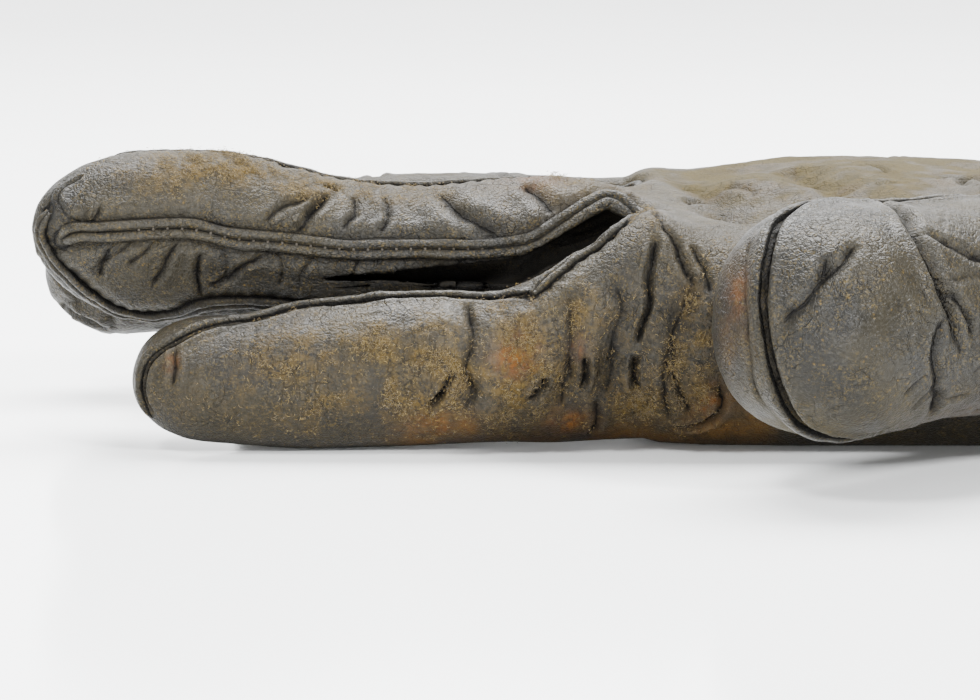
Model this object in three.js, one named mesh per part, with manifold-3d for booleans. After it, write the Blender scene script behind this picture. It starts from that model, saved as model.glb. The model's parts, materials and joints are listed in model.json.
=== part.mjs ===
// A thick leather work glove for the right hand, lying palm down, built from its cut pieces.
// Units are millimetres. While modelling, fingers point along -X, the wrist is at +X, +Y runs from the
// index side to the little side, and Z = 0 is the table. The group is then moved so that the origin
// is the centre of the base of the glove's box.
import * as THREE from "three";
import { ParametricGeometry } from "three/addons/geometries/ParametricGeometry.js";
import { mergeVertices } from "three/addons/utils/BufferGeometryUtils.js";
import Module from "manifold-3d";

// Material thicknesses and the clearance that separate solids keep.
const LEATHER = 1.6;
const LINER = 1.0;
const GAP = 0.35;
const LINER_DEPTH = LEATHER + 1.7;
const WELT_RADIUS = 0.8;
const WELT_LIFT = WELT_RADIUS + 0.5;

// The knuckle line leans with the hand: the index side is rolled down towards the table.
const KNUCKLE_TILT = 25;
const HAND_FRONT = 10;
const WRIST = 108;
const CUFF_END = 172;
const BINDING = 3;

// How far ahead of its hinge a finger's rigid part starts, on the back and on the palm side. The
// notch between them lets the finger bend about 70 degrees. The thumb has the same on its inner side.
const FOLD_BACK = 3;
const FOLD_PALM = 9.5;
const THUMB_FOLD_OUTER = 2.5;
const THUMB_FOLD_INNER = 13.5;

// Where a sleeve's round tip starts, as a share of its length and of its rows.
const DOME = 0.84;
const DOME_ROWS = 0.7;
const POLE = 0.93;

// Places along a sleeve: where side strips end, how far a piece starts behind the one it joins, and
// how deep into the hand the thumb's root reaches.
const SIDE_STRIP_END = 0.9;
const LINER_SETBACK = 0.02;
const WELT_SETBACK = 0.01;
const THUMB_WELT_SETBACK = 0.015;
const THUMB_FOLD_GAP = 0.008;
const THUMB_FOLD_START = 0.05;
const THUMB_ROOT = 0.62;

// The elastic band inside the back of the wrist, and how far the hem's binding stands off the cuff.
const ELASTIC_START = WRIST + 2;
const ELASTIC_END = WRIST + 9;
const ELASTIC_ANGLE = 62;
const ELASTIC = 0.9;
const BINDING_LIFT = 0.7;

const rad = THREE.MathUtils.degToRad;
const { lerp, smoothstep } = THREE.MathUtils;

// Each finger: stations of [x, y, z, half width, half height] from the hand's front to the tip, the
// x of its knuckle hinge, and the angles of its seams from the top of the section, positive towards
// the little side. A finger with no neighbour on a side has no side strip there.
const FINGERS = {
  index: {
    stations: [
      [9.5, 1.6, 21, 11.2, 19.6],
      [-8, 2, 18, 9.4, 14.5],
      [-24, 0.5, 13.4, 10.6, 12.8],
      [-42, -0.5, 12.4, 11, 12.4],
      [-60, -1, 12.8, 10.8, 11.8],
      [-74.2, -1, 13.6, 9.8, 10.6],
    ],
    hinge: -8,
    seams: { farTop: 24, farBottom: 112, near: -118 },
  },
  middle: {
    stations: [
      [9.5, 26.4, 24.6, 11.2, 18.2],
      [-8, 19.5, 29.5, 9.4, 13.4],
      [-28, 18.3, 29.5, 10.6, 12.6],
      [-52, 17, 30.6, 11, 13.2],
      [-74, 15.8, 32, 11, 13.2],
      [-91.5, 15, 33, 9.6, 11.6],
    ],
    hinge: -8,
    seams: { nearTop: -56, farTop: 42, farBottom: 130, nearBottom: -150 },
  },
  ring: {
    stations: [
      [9.5, 50.6, 24.6, 11.8, 18],
      [-8, 49.5, 27, 11.6, 12.8],
      [-30, 51.5, 26.2, 11, 12],
      [-54, 54.5, 23.6, 10.8, 11.4],
      [-78, 57.5, 21, 10.4, 10.8],
      [-94.5, 59.5, 20, 9, 9.6],
    ],
    hinge: -8,
    seams: { nearTop: -20, farTop: 66, farBottom: 158, nearBottom: -112 },
  },
  little: {
    stations: [
      [9.5, 74.8, 22.4, 11.4, 17.2],
      [-5, 79, 19, 10.2, 11],
      [-22, 82, 16.6, 9.6, 10],
      [-38, 84.5, 14.4, 9.4, 9.8],
      [-52, 86.5, 12.6, 9, 9.4],
      [-64, 88, 11.6, 8, 8.4],
    ],
    hinge: -5,
    seams: { nearTop: -22, nearBottom: -108, far: 152 },
  },
};

// The thumb leaves the hand's index side, and points towards the fingertips and outwards.
const THUMB = {
  stations: [
    [80, 3, 22.5, 20, 17.5],
    [68, -7.5, 23.2, 18.4, 17],
    [56, -18, 24.4, 16.8, 16.4],
    [44, -28.6, 25, 16.8, 16.6],
    [32, -39.2, 25, 17, 17],
    [18.8, -50.6, 25, 16.4, 16.6],
  ],
  hinge: 56,
  seams: { top: 4, bottom: 184 },
};

// The hand and cuff, from the cuff's mouth to the front: a wide sleeve, flat on the table side.
const HAND = {
  stations: [
    [CUFF_END + BINDING, 39, 24, 52, 24.4],
    [150, 39, 22.9, 48.5, 23.4],
    [128, 39, 21.3, 45, 21.8],
    [WRIST, 39, 19.9, 42.5, 20.4],
    [84, 38.6, 20.7, 45.5, 21.2],
    [58, 38.4, 21.3, 47.8, 21.8],
    [32, 38.4, 21.1, 48.6, 21.6],
    [HAND_FRONT - 0.5, 38.6, 20.9, 48.2, 21.4],
  ],
  power: 2.6,
  seams: { near: -122, far: 96 },
};

// A tube swept along a curve with an oval section that may close in a round tip.
// u runs from 0 at its first station to 1 at its last, and angles are from the top of the section.
// tilt and power, the squareness of the section, run from a value at u = 0 to another at u = settled.
class Sleeve {
  constructor(stations, { tilt = [0, 0], power = [2, 2], settled = 1, tip = true } = {}) {
    this.path = this.curve(stations.map(([x, y, z]) => [x, y, z]));
    this.size = this.curve(stations.map(([, , , width, height]) => [width, height, 0]));
    Object.assign(this, { tilt, power, settled, tip });
  }

  curve(points) {
    const vectors = points.map((p) => new THREE.Vector3(...p));
    return new THREE.CatmullRomCurve3(vectors, false, "catmullrom", 0.5);
  }

  // Along the curve, and how much the round tip shrinks the section there.
  reach(u) {
    if (!this.tip || u < DOME_ROWS) return [this.tip ? (u / DOME_ROWS) * DOME : u, 1];
    const turn = ((u - DOME_ROWS) / (1 - DOME_ROWS)) * (Math.PI / 2);
    return [DOME + (1 - DOME) * Math.sin(turn), Math.cos(turn)];
  }

  // The u at which the curve passes a given x, for the straight part of a sleeve.
  atX(x) {
    let low = 0;
    let high = 1;
    for (let i = 0; i < 40; i++) {
      const u = (low + high) / 2;
      const t = this.reach(u)[0];
      if (this.path.getPoint(t).x > x) low = u;
      else high = u;
    }
    return low;
  }

  frame(u) {
    const [t, shrink] = this.reach(u);
    const ahead = this.path.getTangent(Math.min(t, 0.999));
    const side = new THREE.Vector3().crossVectors(ahead, new THREE.Vector3(0, 0, 1)).normalize();
    const top = new THREE.Vector3().crossVectors(side, ahead);
    const share = smoothstep(u, 0, this.settled);
    const tilt = rad(lerp(...this.tilt, share));
    side.applyAxisAngle(ahead, -tilt);
    top.applyAxisAngle(ahead, -tilt);
    const size = this.size.getPoint(t).multiplyScalar(shrink);
    const power = lerp(...this.power, share);
    return { centre: this.path.getPoint(t), ahead, side, top, width: size.x, height: size.y, power };
  }

  surface(u, angle) {
    const f = this.frame(u);
    const [s, c] = [Math.sin(rad(angle)), Math.cos(rad(angle))];
    const squared = (value) => Math.sign(value) * Math.abs(value) ** (2 / f.power);
    return f.centre
      .addScaledVector(f.side, f.width * squared(s))
      .addScaledVector(f.top, f.height * squared(c));
  }

  // A point depth inside the surface, or outside it where depth is negative.
  point(u, angle, depth) {
    if (u > 0.9999) {
      const { centre, ahead } = this.frame(1);
      return centre.addScaledVector(ahead, -depth);
    }
    const [du, da] = [0.002, 1];
    const at = this.surface(u, angle);
    const [behind, ahead] = [Math.max(u - du, 0), Math.min(u + du, 1)];
    const along = this.surface(ahead, angle).sub(this.surface(behind, angle));
    const around = this.surface(u, angle + da).sub(this.surface(u, angle - da));
    const outward = around.cross(along).normalize();
    return at.addScaledVector(outward, -depth);
  }
}

// A strip of leather on a sleeve. start and end are functions of the angle, and edges gives its two
// side angles at each u. Its ends are zipped along the middle of its thickness.
function strip(sleeve, { start, end, edges, depth = 0, thickness = LEATHER, rows = 8, columns = 3 }) {
  const across = 2 * columns + 2;
  const along = rows + 2;
  const place = (u, v, target) => {
    const row = Math.round(u * along);
    const column = Math.round(v * across) % across;
    const outside = column <= columns;
    const share = 1 - (outside ? column : across - 1 - column) / columns;
    const w = THREE.MathUtils.clamp((row - 1) / rows, 0, 1);
    const guess = lerp(start(0), end(0), w);
    const [from, to] = edges(guess);
    const angle = lerp(from, to, share);
    const at = lerp(start(angle), end(angle), w);
    const zipped = row === 0 || row === along;
    const inset = zipped ? thickness / 2 : outside ? 0 : thickness;
    target.copy(sleeve.point(at, angle, depth + inset));
  };
  return new ParametricGeometry(place, along, across);
}

// A tube on a sleeve, open at both ends, or closed by the sleeve's tip when its end is 1.
function tube(sleeve, { start, end, depth = 0, thickness = LEATHER, rows = 4, columns = 12 }) {
  const along = 2 * rows + 2;
  const place = (u, v, target) => {
    const row = Math.round(u * along) % along;
    const outside = row <= rows;
    const w = (outside ? row : along - 1 - row) / rows;
    const angle = -(Math.round(v * columns) % columns) * (360 / columns);
    const at = lerp(start(angle), end(angle), w);
    target.copy(sleeve.point(at, angle, depth + (outside ? 0 : thickness)));
  };
  return new ParametricGeometry(place, along, columns);
}

// The solid that a sleeve encloses between two places, for cutting.
function plug(sleeve, from, to, depth, rows = 8, columns = 16) {
  const place = (u, v, target) => {
    const row = THREE.MathUtils.clamp(Math.round(u * (rows + 2)) - 1, 0, rows);
    const at = lerp(from, to, row / rows);
    const capped = u < 0.5 / (rows + 2) || (u > 1 - 0.5 / (rows + 2) && at < 0.9999);
    if (capped) target.copy(sleeve.frame(at).centre);
    else target.copy(sleeve.point(at, -(Math.round(v * columns) % columns) * (360 / columns), depth));
  };
  return new ParametricGeometry(place, rows + 2, columns);
}

// A piped seam: a round cord along a list of points, closed at both ends.
function welt(points, radius = WELT_RADIUS, steps = 10) {
  const section = new THREE.Shape().absarc(0, 0, radius, 0, 2 * Math.PI);
  const extrudePath = new THREE.CatmullRomCurve3(points);
  const options = { steps, curveSegments: 3, extrudePath, bevelEnabled: false };
  return new THREE.ExtrudeGeometry(section, options);
}

const wasm = await Module();
wasm.setup();

function solid(geometry) {
  const bare = geometry.clone();
  bare.deleteAttribute("normal");
  bare.deleteAttribute("uv");
  const merged = mergeVertices(bare, 1e-4);
  return new wasm.Manifold(
    new wasm.Mesh({
      numProp: 3,
      vertProperties: merged.attributes.position.array,
      triVerts: new Uint32Array(merged.index.array),
    }),
  );
}

function geometryOf(manifold) {
  const mesh = manifold.getMesh();
  const geometry = new THREE.BufferGeometry();
  geometry.setAttribute("position", new THREE.BufferAttribute(mesh.vertProperties, 3));
  geometry.setIndex(new THREE.BufferAttribute(mesh.triVerts, 1));
  geometry.computeVertexNormals();
  return geometry;
}

const cut = (geometry, ...cutters) =>
  geometryOf(cutters.reduce((made, cutter) => made.subtract(solid(cutter)), solid(geometry)));

const materials = {
  outer: new THREE.MeshStandardMaterial({ color: 0x5c5a55, roughness: 0.75, metalness: 0 }),
  palm: new THREE.MeshStandardMaterial({ color: 0x6b5233, roughness: 0.8, metalness: 0 }),
  side: new THREE.MeshStandardMaterial({ color: 0x4f4d46, roughness: 0.8, metalness: 0 }),
  piping: new THREE.MeshStandardMaterial({ color: 0x45443f, roughness: 0.65, metalness: 0 }),
  liner: new THREE.MeshStandardMaterial({ color: 0xb39a4d, roughness: 0.95, metalness: 0 }),
  elastic: new THREE.MeshStandardMaterial({ color: 0x8c8470, roughness: 0.9, metalness: 0 }),
};

const glove = new THREE.Group();

function add(name, geometry, material) {
  const mesh = new THREE.Mesh(geometry, materials[material]);
  mesh.name = name;
  glove.add(mesh);
}

// A strip's side angles between two seams, set back so that neighbours keep their gap, closing in
// towards the tip where a seam lies beside a side strip.
function between(sleeve, from, to) {
  return (u) => {
    const { width, height } = sleeve.frame(Math.min(u, 1 - (1 - POLE) / 2));
    const back = THREE.MathUtils.radToDeg((GAP * 0.6) / Math.max(Math.min(width, height) - LEATHER, 1));
    return [from(u) + back, to(u) - back];
  };
}

// A seam beside a side strip drifts to the strip's middle at the fingertip, so the strip tapers.
const TAPER_START = 0.62;
const TAPER = 0.9;
const drifting = (angle, middle) => (u) => lerp(angle, middle, TAPER * smoothstep(u, TAPER_START, POLE));
const steady = (angle) => () => angle;

// Everything behind the front edge of the hand's pieces, where the knuckle folds stop.
const pastFront = new THREE.BoxGeometry(40, 160, 80).translate(HAND_FRONT - GAP + 19, 40, 30);

// A finger's or the thumb's knitted liner, closed by the sleeve's tip.
const fingerLiner = { end: () => 1, depth: LINER_DEPTH, thickness: LINER, rows: 6 };

function finger(name, { stations, hinge, seams }) {
  const sleeve = new Sleeve(stations, { tilt: [0, KNUCKLE_TILT], power: [3.4, 2], settled: 0.16 });
  const ahead = (angle) => lerp(FOLD_BACK, FOLD_PALM, (1 - Math.cos(rad(angle))) / 2);
  const start = (angle) => sleeve.atX(hinge - ahead(angle));
  const end = () => 1 - (1 - POLE) * (1 - DOME_ROWS);
  const edgesOf = (from, to) => between(sleeve, from, to);
  const wide = { start, end, rows: 8, columns: 4 };

  const near = "nearTop" in seams;
  const far = "farTop" in seams;
  const nearMiddle = near && (seams.nearTop + seams.nearBottom) / 2;
  const farMiddle = far && (seams.farTop + seams.farBottom) / 2;
  const nearTop = near ? drifting(seams.nearTop, nearMiddle) : steady(seams.near);
  const nearBottom = near ? drifting(seams.nearBottom, nearMiddle) : steady(seams.near);
  const farTop = far ? drifting(seams.farTop, farMiddle) : steady(seams.far);
  const farBottom = far ? drifting(seams.farBottom, farMiddle) : steady(seams.far);

  add(`${name}_back`, strip(sleeve, { ...wide, edges: edgesOf(nearTop, farTop) }), "outer");
  const palmSide = (u) => nearBottom(u) + 360;
  add(`${name}_palm`, strip(sleeve, { ...wide, edges: edgesOf(farBottom, palmSide) }), "palm");
  const sides = [
    near && ["near", nearBottom, nearTop],
    far && ["far", farTop, farBottom],
  ].filter(Boolean);
  for (const [side, from, to] of sides) {
    const label = sides.length > 1 ? `${name}_${side}_fourchette` : `${name}_fourchette`;
    const tapered = { start, end: () => SIDE_STRIP_END, rows: 7, columns: 3 };
    add(label, strip(sleeve, { ...tapered, edges: edgesOf(from, to) }), "side");
    const seam = side === "near" ? nearTop : farTop;
    const path = [];
    for (let i = 0; i <= 8; i++) {
      const u = lerp(start(0) + WELT_SETBACK, SIDE_STRIP_END, i / 8);
      path.push(sleeve.point(u, seam(u), -WELT_LIFT));
    }
    add(sides.length > 1 ? `${name}_${side}_welt` : `${name}_welt`, welt(path), "piping");
  }

  const foldEnd = (angle) => sleeve.atX(hinge - ahead(angle) + GAP);
  const fold = tube(sleeve, { start: () => 0, end: foldEnd, rows: 4, columns: 16 });
  add(`${name}_knuckle_fold`, cut(fold, pastFront), "outer");
  const linerStart = (angle) => start(angle) + LINER_SETBACK;
  add(`${name}_liner`, tube(sleeve, { ...fingerLiner, start: linerStart, columns: 8 }), "liner");
  return sleeve;
}

const sleeves = {};
for (const [name, shape] of Object.entries(FINGERS)) sleeves[name] = finger(name, shape);

// Piping round the web between two fingers: it climbs each finger's fold and crosses at the top.
const WEB_LIFT = WELT_LIFT + 0.5;
const WEB_LENGTH = 10.5;
const WEB_RISE = 0.75;
const WEB_CREST = 0.2;
function webWelt(name, left, right) {
  const beside = (key, angle, back) => {
    const x = FINGERS[key].hinge - FOLD_BACK + 2 * WELT_RADIUS + 1 + back;
    const rising = angle * (1 - WEB_RISE * smoothstep(back, 0, WEB_LENGTH));
    return sleeves[key].point(sleeves[key].atX(x), rising, -WEB_LIFT);
  };
  const leftAngle = FINGERS[left].seams.farTop;
  const rightAngle = FINGERS[right].seams.nearTop;
  const from = [0, WEB_LENGTH / 2, WEB_LENGTH].map((back) => beside(left, leftAngle, back));
  const to = [WEB_LENGTH, WEB_LENGTH / 2, 0].map((back) => beside(right, rightAngle, back));
  const bend = from[2].clone().lerp(to[0], 0.5);
  bend.z = Math.max(from[2].z, to[0].z) + WEB_CREST;
  add(name, welt([...from, bend, ...to], WELT_RADIUS, 14), "piping");
}
webWelt("index_middle_web_welt", "index", "middle");
webWelt("middle_ring_web_welt", "middle", "ring");
webWelt("ring_little_web_welt", "ring", "little");

// What lies on the table is pressed flat by it.
const table = new THREE.BoxGeometry(400, 300, 10).translate(60, 30, -5);

// The hand: back and palm pieces and the liner, with the thumb's hole cut through them.
const hand = new Sleeve(HAND.stations, { power: [HAND.power, HAND.power], tip: false });
const thumb = new Sleeve(THUMB.stations);
const handFront = hand.atX(HAND_FRONT);
const wrist = hand.atX(WRIST);
const thumbHole = plug(thumb, 0, THUMB_ROOT, LINER_DEPTH);
const backEdges = between(hand, steady(HAND.seams.near), steady(HAND.seams.far));
const palmEdges = between(hand, steady(HAND.seams.far), steady(HAND.seams.near + 360));
const handShape = { start: () => wrist, end: () => handFront, rows: 6 };
add("hand_back", cut(strip(hand, { ...handShape, edges: backEdges, columns: 12 }), thumbHole), "outer");
const palm = strip(hand, { ...handShape, edges: palmEdges, columns: 10 });
add("hand_palm", cut(palm, thumbHole, table), "palm");
const linerSpan = { start: () => hand.atX(WRIST + 1), end: () => handFront };
const linerTube = { ...linerSpan, depth: LINER_DEPTH, thickness: LINER, rows: 6, columns: 20 };
add("hand_liner", cut(tube(hand, linerTube), thumbHole), "liner");

// The cuff: back and palm pieces, the elastic sewn inside the back of the wrist, and a bound hem.
const cuffSpan = { start: () => hand.atX(CUFF_END), end: () => hand.atX(WRIST + GAP) };
const cuffShape = { ...cuffSpan, rows: 5, columns: 9 };
add("cuff_back", strip(hand, { ...cuffShape, edges: backEdges }), "outer");
add("cuff_palm", cut(strip(hand, { ...cuffShape, edges: palmEdges }), table), "outer");
const elasticSpan = { start: () => hand.atX(ELASTIC_END), end: () => hand.atX(ELASTIC_START) };
const elasticEdges = () => [-ELASTIC_ANGLE, ELASTIC_ANGLE];
const elasticShape = { ...elasticSpan, edges: elasticEdges, depth: LEATHER + 1, thickness: ELASTIC };
add("wrist_elastic", strip(hand, { ...elasticShape, rows: 1, columns: 9 }), "elastic");
const bindingSpan = { start: () => 0, end: () => hand.atX(CUFF_END + GAP) };
const bindingShape = { ...bindingSpan, depth: -BINDING_LIFT, thickness: LEATHER + 1.5 };
add("cuff_binding", cut(tube(hand, { ...bindingShape, rows: 1, columns: 28 }), table), "piping");

// The thumb: an outer and an inner piece joined by one seam over the tip, its fold and its liner.
const handBlock = plug(hand, 0.2, 1, -1, 10, 24);
const thumbAhead = (angle) => lerp(THUMB_FOLD_OUTER, THUMB_FOLD_INNER, (1 + Math.sin(rad(angle))) / 2);
const pastFold = (angle) => thumb.atX(THUMB.hinge - thumbAhead(angle));
const thumbEnd = () => 1 - (1 - POLE) * (1 - DOME_ROWS);
const thumbShape = { start: pastFold, end: thumbEnd, rows: 8, columns: 6 };
const thumbTop = steady(THUMB.seams.top);
const thumbBottom = steady(THUMB.seams.bottom);
const innerEdges = between(thumb, thumbTop, thumbBottom);
const outerEdges = between(thumb, thumbBottom, steady(THUMB.seams.top + 360));
add("thumb_inner", strip(thumb, { ...thumbShape, edges: innerEdges }), "palm");
add("thumb_outer", strip(thumb, { ...thumbShape, edges: outerEdges }), "outer");
const thumbLinerStart = (angle) => pastFold(angle) + LINER_SETBACK;
add("thumb_liner", tube(thumb, { ...fingerLiner, start: thumbLinerStart, columns: 10 }), "liner");
const foldEnd = (angle) => pastFold(angle) - THUMB_FOLD_GAP;
const thumbFold = { start: () => THUMB_FOLD_START, end: foldEnd, rows: 5, columns: 14 };
add("thumb_fold", cut(tube(thumb, thumbFold), handBlock), "outer");
const thumbSeam = [];
for (let i = 0; i <= 9; i++) {
  const u = lerp(pastFold(THUMB.seams.top) + THUMB_WELT_SETBACK, POLE, i / 9);
  thumbSeam.push(thumb.point(u, THUMB.seams.top, -WELT_LIFT));
}
add("thumb_welt", welt(thumbSeam), "piping");

const box = new THREE.Box3().setFromObject(glove);
const middle = box.getCenter(new THREE.Vector3());
glove.position.set(-middle.x, -middle.y, -box.min.z);

export default glove;
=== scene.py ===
"""The looks of a worn leather work glove that lies palm down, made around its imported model.

The leather is one smooth field: the hand, the thumb and the four fingers are round-ended tubes that
melt into each other. The field is meshed once, creased, and cut along the seams into separate pieces.
Until a mesh is made, lengths are millimetres in the glove's own frame: the fingers point along -X, the
little finger is at +Y, the table is Z = 0, and X = 0 is close to the web of the index finger.
"""
import json
import math
from types import SimpleNamespace

import bpy
import numpy as np
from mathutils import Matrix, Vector


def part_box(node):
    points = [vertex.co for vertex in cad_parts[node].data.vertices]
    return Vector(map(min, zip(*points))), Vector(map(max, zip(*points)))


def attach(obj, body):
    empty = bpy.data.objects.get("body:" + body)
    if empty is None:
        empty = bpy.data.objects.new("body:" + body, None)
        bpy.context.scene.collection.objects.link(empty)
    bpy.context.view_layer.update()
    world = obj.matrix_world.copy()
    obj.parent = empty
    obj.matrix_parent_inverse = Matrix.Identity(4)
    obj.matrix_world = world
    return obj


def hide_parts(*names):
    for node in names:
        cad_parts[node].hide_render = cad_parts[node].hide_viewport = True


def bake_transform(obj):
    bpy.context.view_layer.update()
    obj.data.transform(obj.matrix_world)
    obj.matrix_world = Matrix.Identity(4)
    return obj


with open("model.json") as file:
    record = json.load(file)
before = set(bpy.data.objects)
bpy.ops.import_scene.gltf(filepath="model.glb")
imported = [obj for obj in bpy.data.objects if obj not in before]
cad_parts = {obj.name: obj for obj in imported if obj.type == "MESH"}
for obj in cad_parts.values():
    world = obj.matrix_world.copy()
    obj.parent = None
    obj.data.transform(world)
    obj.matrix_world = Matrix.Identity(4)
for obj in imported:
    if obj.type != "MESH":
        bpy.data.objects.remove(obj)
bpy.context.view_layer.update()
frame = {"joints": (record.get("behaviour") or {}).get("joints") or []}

MM = 0.001
INDEX_KNUCKLE = np.array([-8.0, 2.0, 18.0])
joints = {joint["name"]: joint for joint in frame["joints"]}
SHIFT = np.array(joints["index_knuckle"]["pos_m"]) / MM - INDEX_KNUCKLE


def to_row(points):
    """Millimetres in the glove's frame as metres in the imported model's frame."""
    return (np.asarray(points, float) + SHIFT) * MM


# ---------------------------------------------------------------- numbers

def spline(xs, ys, at):
    """A smooth curve through the points (xs, ys), read at the places in at."""
    xs, ys = np.asarray(xs, float), np.asarray(ys, float)
    slopes = np.gradient(ys, xs)
    k = np.clip(np.searchsorted(xs, at) - 1, 0, len(xs) - 2)
    width = xs[k + 1] - xs[k]
    t = np.clip((at - xs[k]) / width, 0, 1)
    rise = t * t * (3 - 2 * t)
    lead = t * (1 - t) ** 2 * slopes[k] * width
    tail = t * t * (t - 1) * slopes[k + 1] * width
    return ys[k] + (ys[k + 1] - ys[k]) * rise + lead + tail


def smoothstep(low, high, value):
    t = np.clip((value - low) / (high - low), 0, 1)
    return t * t * (3 - 2 * t)


def bell(distance, width):
    return np.exp(-((distance / width) ** 2))


def notch(distance, width):
    """Like bell, with a sharper bottom."""
    return np.exp(-(np.abs(distance / width) ** 1.35))


NOISE_SIZE = 32
noise_table = np.random.default_rng(7).random((NOISE_SIZE, NOISE_SIZE, NOISE_SIZE)) * 2 - 1


def noise(points, size, layer=0):
    """Smooth noise from -1 to 1 with features about size millimetres across."""
    p = points / size + np.array([3.7, 11.3, 17.9]) * (layer + 1)
    base = np.floor(p).astype(int)
    t = p - base
    t = t * t * (3 - 2 * t)
    total = np.zeros(len(p))
    for i in (0, 1):
        for j in (0, 1):
            for k in (0, 1):
                cell = (base + (i, j, k)) % NOISE_SIZE
                share = np.abs(1 - i - t[:, 0]) * np.abs(1 - j - t[:, 1]) * np.abs(1 - k - t[:, 2])
                total += share * noise_table[cell[:, 0], cell[:, 1], cell[:, 2]]
    return total


# ---------------------------------------------------------------- the field

class Tube:
    """A tube along a level heading, closed by a round dome.

    A station is [along, side, height, half width, half height, roll]. Side is measured to the left of
    the heading seen from below, which is +Y for a finger, and roll turns the top towards -side.
    """

    def __init__(self, stations, dome, heading=(-1.0, 0.0), origin=(0.0, 0.0), power=2.0):
        rows = np.array(stations, float)
        self.along = np.linspace(rows[0, 0], rows[-1, 0], 300)
        self.columns = [spline(rows[:, 0], rows[:, i], self.along) for i in range(1, 6)]
        self.dome_start, self.dome_length = dome
        self.heading = np.array(heading) / np.hypot(*heading)
        self.origin = np.array(origin)
        self.power = power

    def shape(self, q):
        return [np.interp(q, self.along, column) for column in self.columns]

    def local(self, x, y, z):
        """Along, the two rolled section coordinates, and the section's half sizes."""
        hx, hy = self.heading
        dx, dy = x - self.origin[0], y - self.origin[1]
        q = dx * hx + dy * hy
        side, height, a, c, roll = self.shape(q)
        u, v = dx * hy - dy * hx - side, z - height
        roll = np.radians(roll)
        return q, u * np.cos(roll) + v * np.sin(roll), v * np.cos(roll) - u * np.sin(roll), a, c

    def distance(self, x, y, z):
        q, u, v, a, c = self.local(x, y, z)
        w = np.maximum(q - self.dome_start, 0)
        p = self.power
        spread = (np.abs(u / a) ** p + np.abs(v / c) ** p + (w / self.dome_length) ** p) ** (1 / p) + 1e-6
        return (spread - 1) * np.sqrt(u * u + v * v + w * w) / spread

    def angle(self, points):
        """The angle round the section, from its top towards +side, in degrees."""
        _, u, v, a, c = self.local(*points.T)
        return np.degrees(np.arctan2(u / a, v / c))

    def point(self, q, angle):
        q, angle = np.broadcast_arrays(np.asarray(q, float), np.asarray(angle, float))
        side, height, a, c, roll = self.shape(q)
        p = self.power
        shrink = np.maximum(1 - (np.maximum(q - self.dome_start, 0) / self.dome_length) ** p, 0) ** (1 / p)
        s, t, roll = np.sin(np.radians(angle)), np.cos(np.radians(angle)), np.radians(roll)
        u = a * shrink * np.sign(s) * np.abs(s) ** (2 / p)
        v = c * shrink * np.sign(t) * np.abs(t) ** (2 / p)
        side = side + u * np.cos(roll) - v * np.sin(roll)
        height = height + v * np.cos(roll) + u * np.sin(roll)
        hx, hy = self.heading
        x = self.origin[0] + q * hx + side * hy
        y = self.origin[1] + q * hy - side * hx
        return np.stack([x, y, height], axis=-1)


# Where the cuff stops, and the height under which the leather lies flat on the table.
CUFF_END = 172.0
PRESSED = 0.15

FINGERS = {
    "index": Tube(
        [
            [-28, 4, 14.5, 12, 15, 0],
            [-16, 3.2, 16.8, 11.6, 16.8, 4],
            [-7, 2.4, 19, 11.3, 18.3, 8],
            [-2, 1.8, 17.8, 11, 17.4, 14],
            [3, 1.3, 15.8, 10.8, 15.6, 18],
            [9, 0.9, 14.2, 10.7, 14.2, 22],
            [17, 0.3, 12.8, 10.8, 12.2, 25],
            [35, -0.5, 12.1, 11, 12, 25],
            [48, -0.8, 11.2, 11, 11, 25],
            [64, -1, 10.8, 10.2, 9.2, 25],
            [80, -1, 11.5, 10, 9, 25],
        ],
        dome=(62, 12.2), power=2.15,
    ),
    "middle": Tube(
        [
            [-26, 26.5, 19, 11.5, 15.5, 0],
            [-12, 25.5, 22.6, 11.4, 15, 8],
            [-3, 23.4, 26.2, 11.2, 14, 16],
            [8, 20.5, 27.9, 10.7, 12.2, 23],
            [18, 19, 28.4, 10.6, 11.6, 25],
            [30, 18.2, 28.5, 10.8, 10.6, 25],
            [44, 17.4, 29.4, 11, 10.8, 25],
            [54, 16.8, 30.8, 11, 12.4, 25],
            [64, 16.2, 31.4, 11, 13.7, 25],
            [76, 15.8, 31.5, 11, 13.9, 25],
            [96, 15, 33, 11, 12.6, 25],
        ],
        dome=(72, 19.5), power=2.08,
    ),
    "ring": Tube(
        [
            [-26, 50.5, 19.5, 11.8, 16, 0],
            [-9.5, 50.5, 22, 11.8, 15, 6],
            [8, 49.5, 26, 11.2, 12, 23],
            [30, 51.5, 26.4, 11, 11.8, 25],
            [54, 54.5, 23.4, 10.8, 11.2, 25],
            [78, 57.5, 21, 10.4, 10.8, 25],
            [100, 60, 19.8, 10.2, 10.4, 25],
        ],
        dome=(81, 13.8),
    ),
    "little": Tube(
        [
            [-26, 75, 18, 11.2, 15, 0],
            [-9.5, 75.5, 20, 11.2, 14.5, 0],
            [5, 79, 19, 10.4, 11.6, 20],
            [22, 82, 16.6, 9.8, 10.2, 25],
            [38, 84.5, 14.4, 9.6, 9.8, 25],
            [52, 86.5, 12.6, 9.2, 9.6, 25],
            [70, 88.5, 11, 9, 9.4, 25],
        ],
        dome=(53, 11),
    ),
}
THUMB = Tube(
    [
        [-40, 0, 20, 20, 17, 0],
        [-20, 0, 22.4, 19, 16.8, 0],
        [0, 0, 24.4, 17.4, 16.4, 0],
        [16, 0, 25, 16.6, 16.4, 0],
        [32, 0, 25, 17, 17, 0],
        [52, 0, 25, 16.8, 16.8, 0],
    ],
    dome=(33, 17.2), heading=(-0.75, -0.66), origin=(56.0, -18.0), power=2.25,
)
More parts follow.
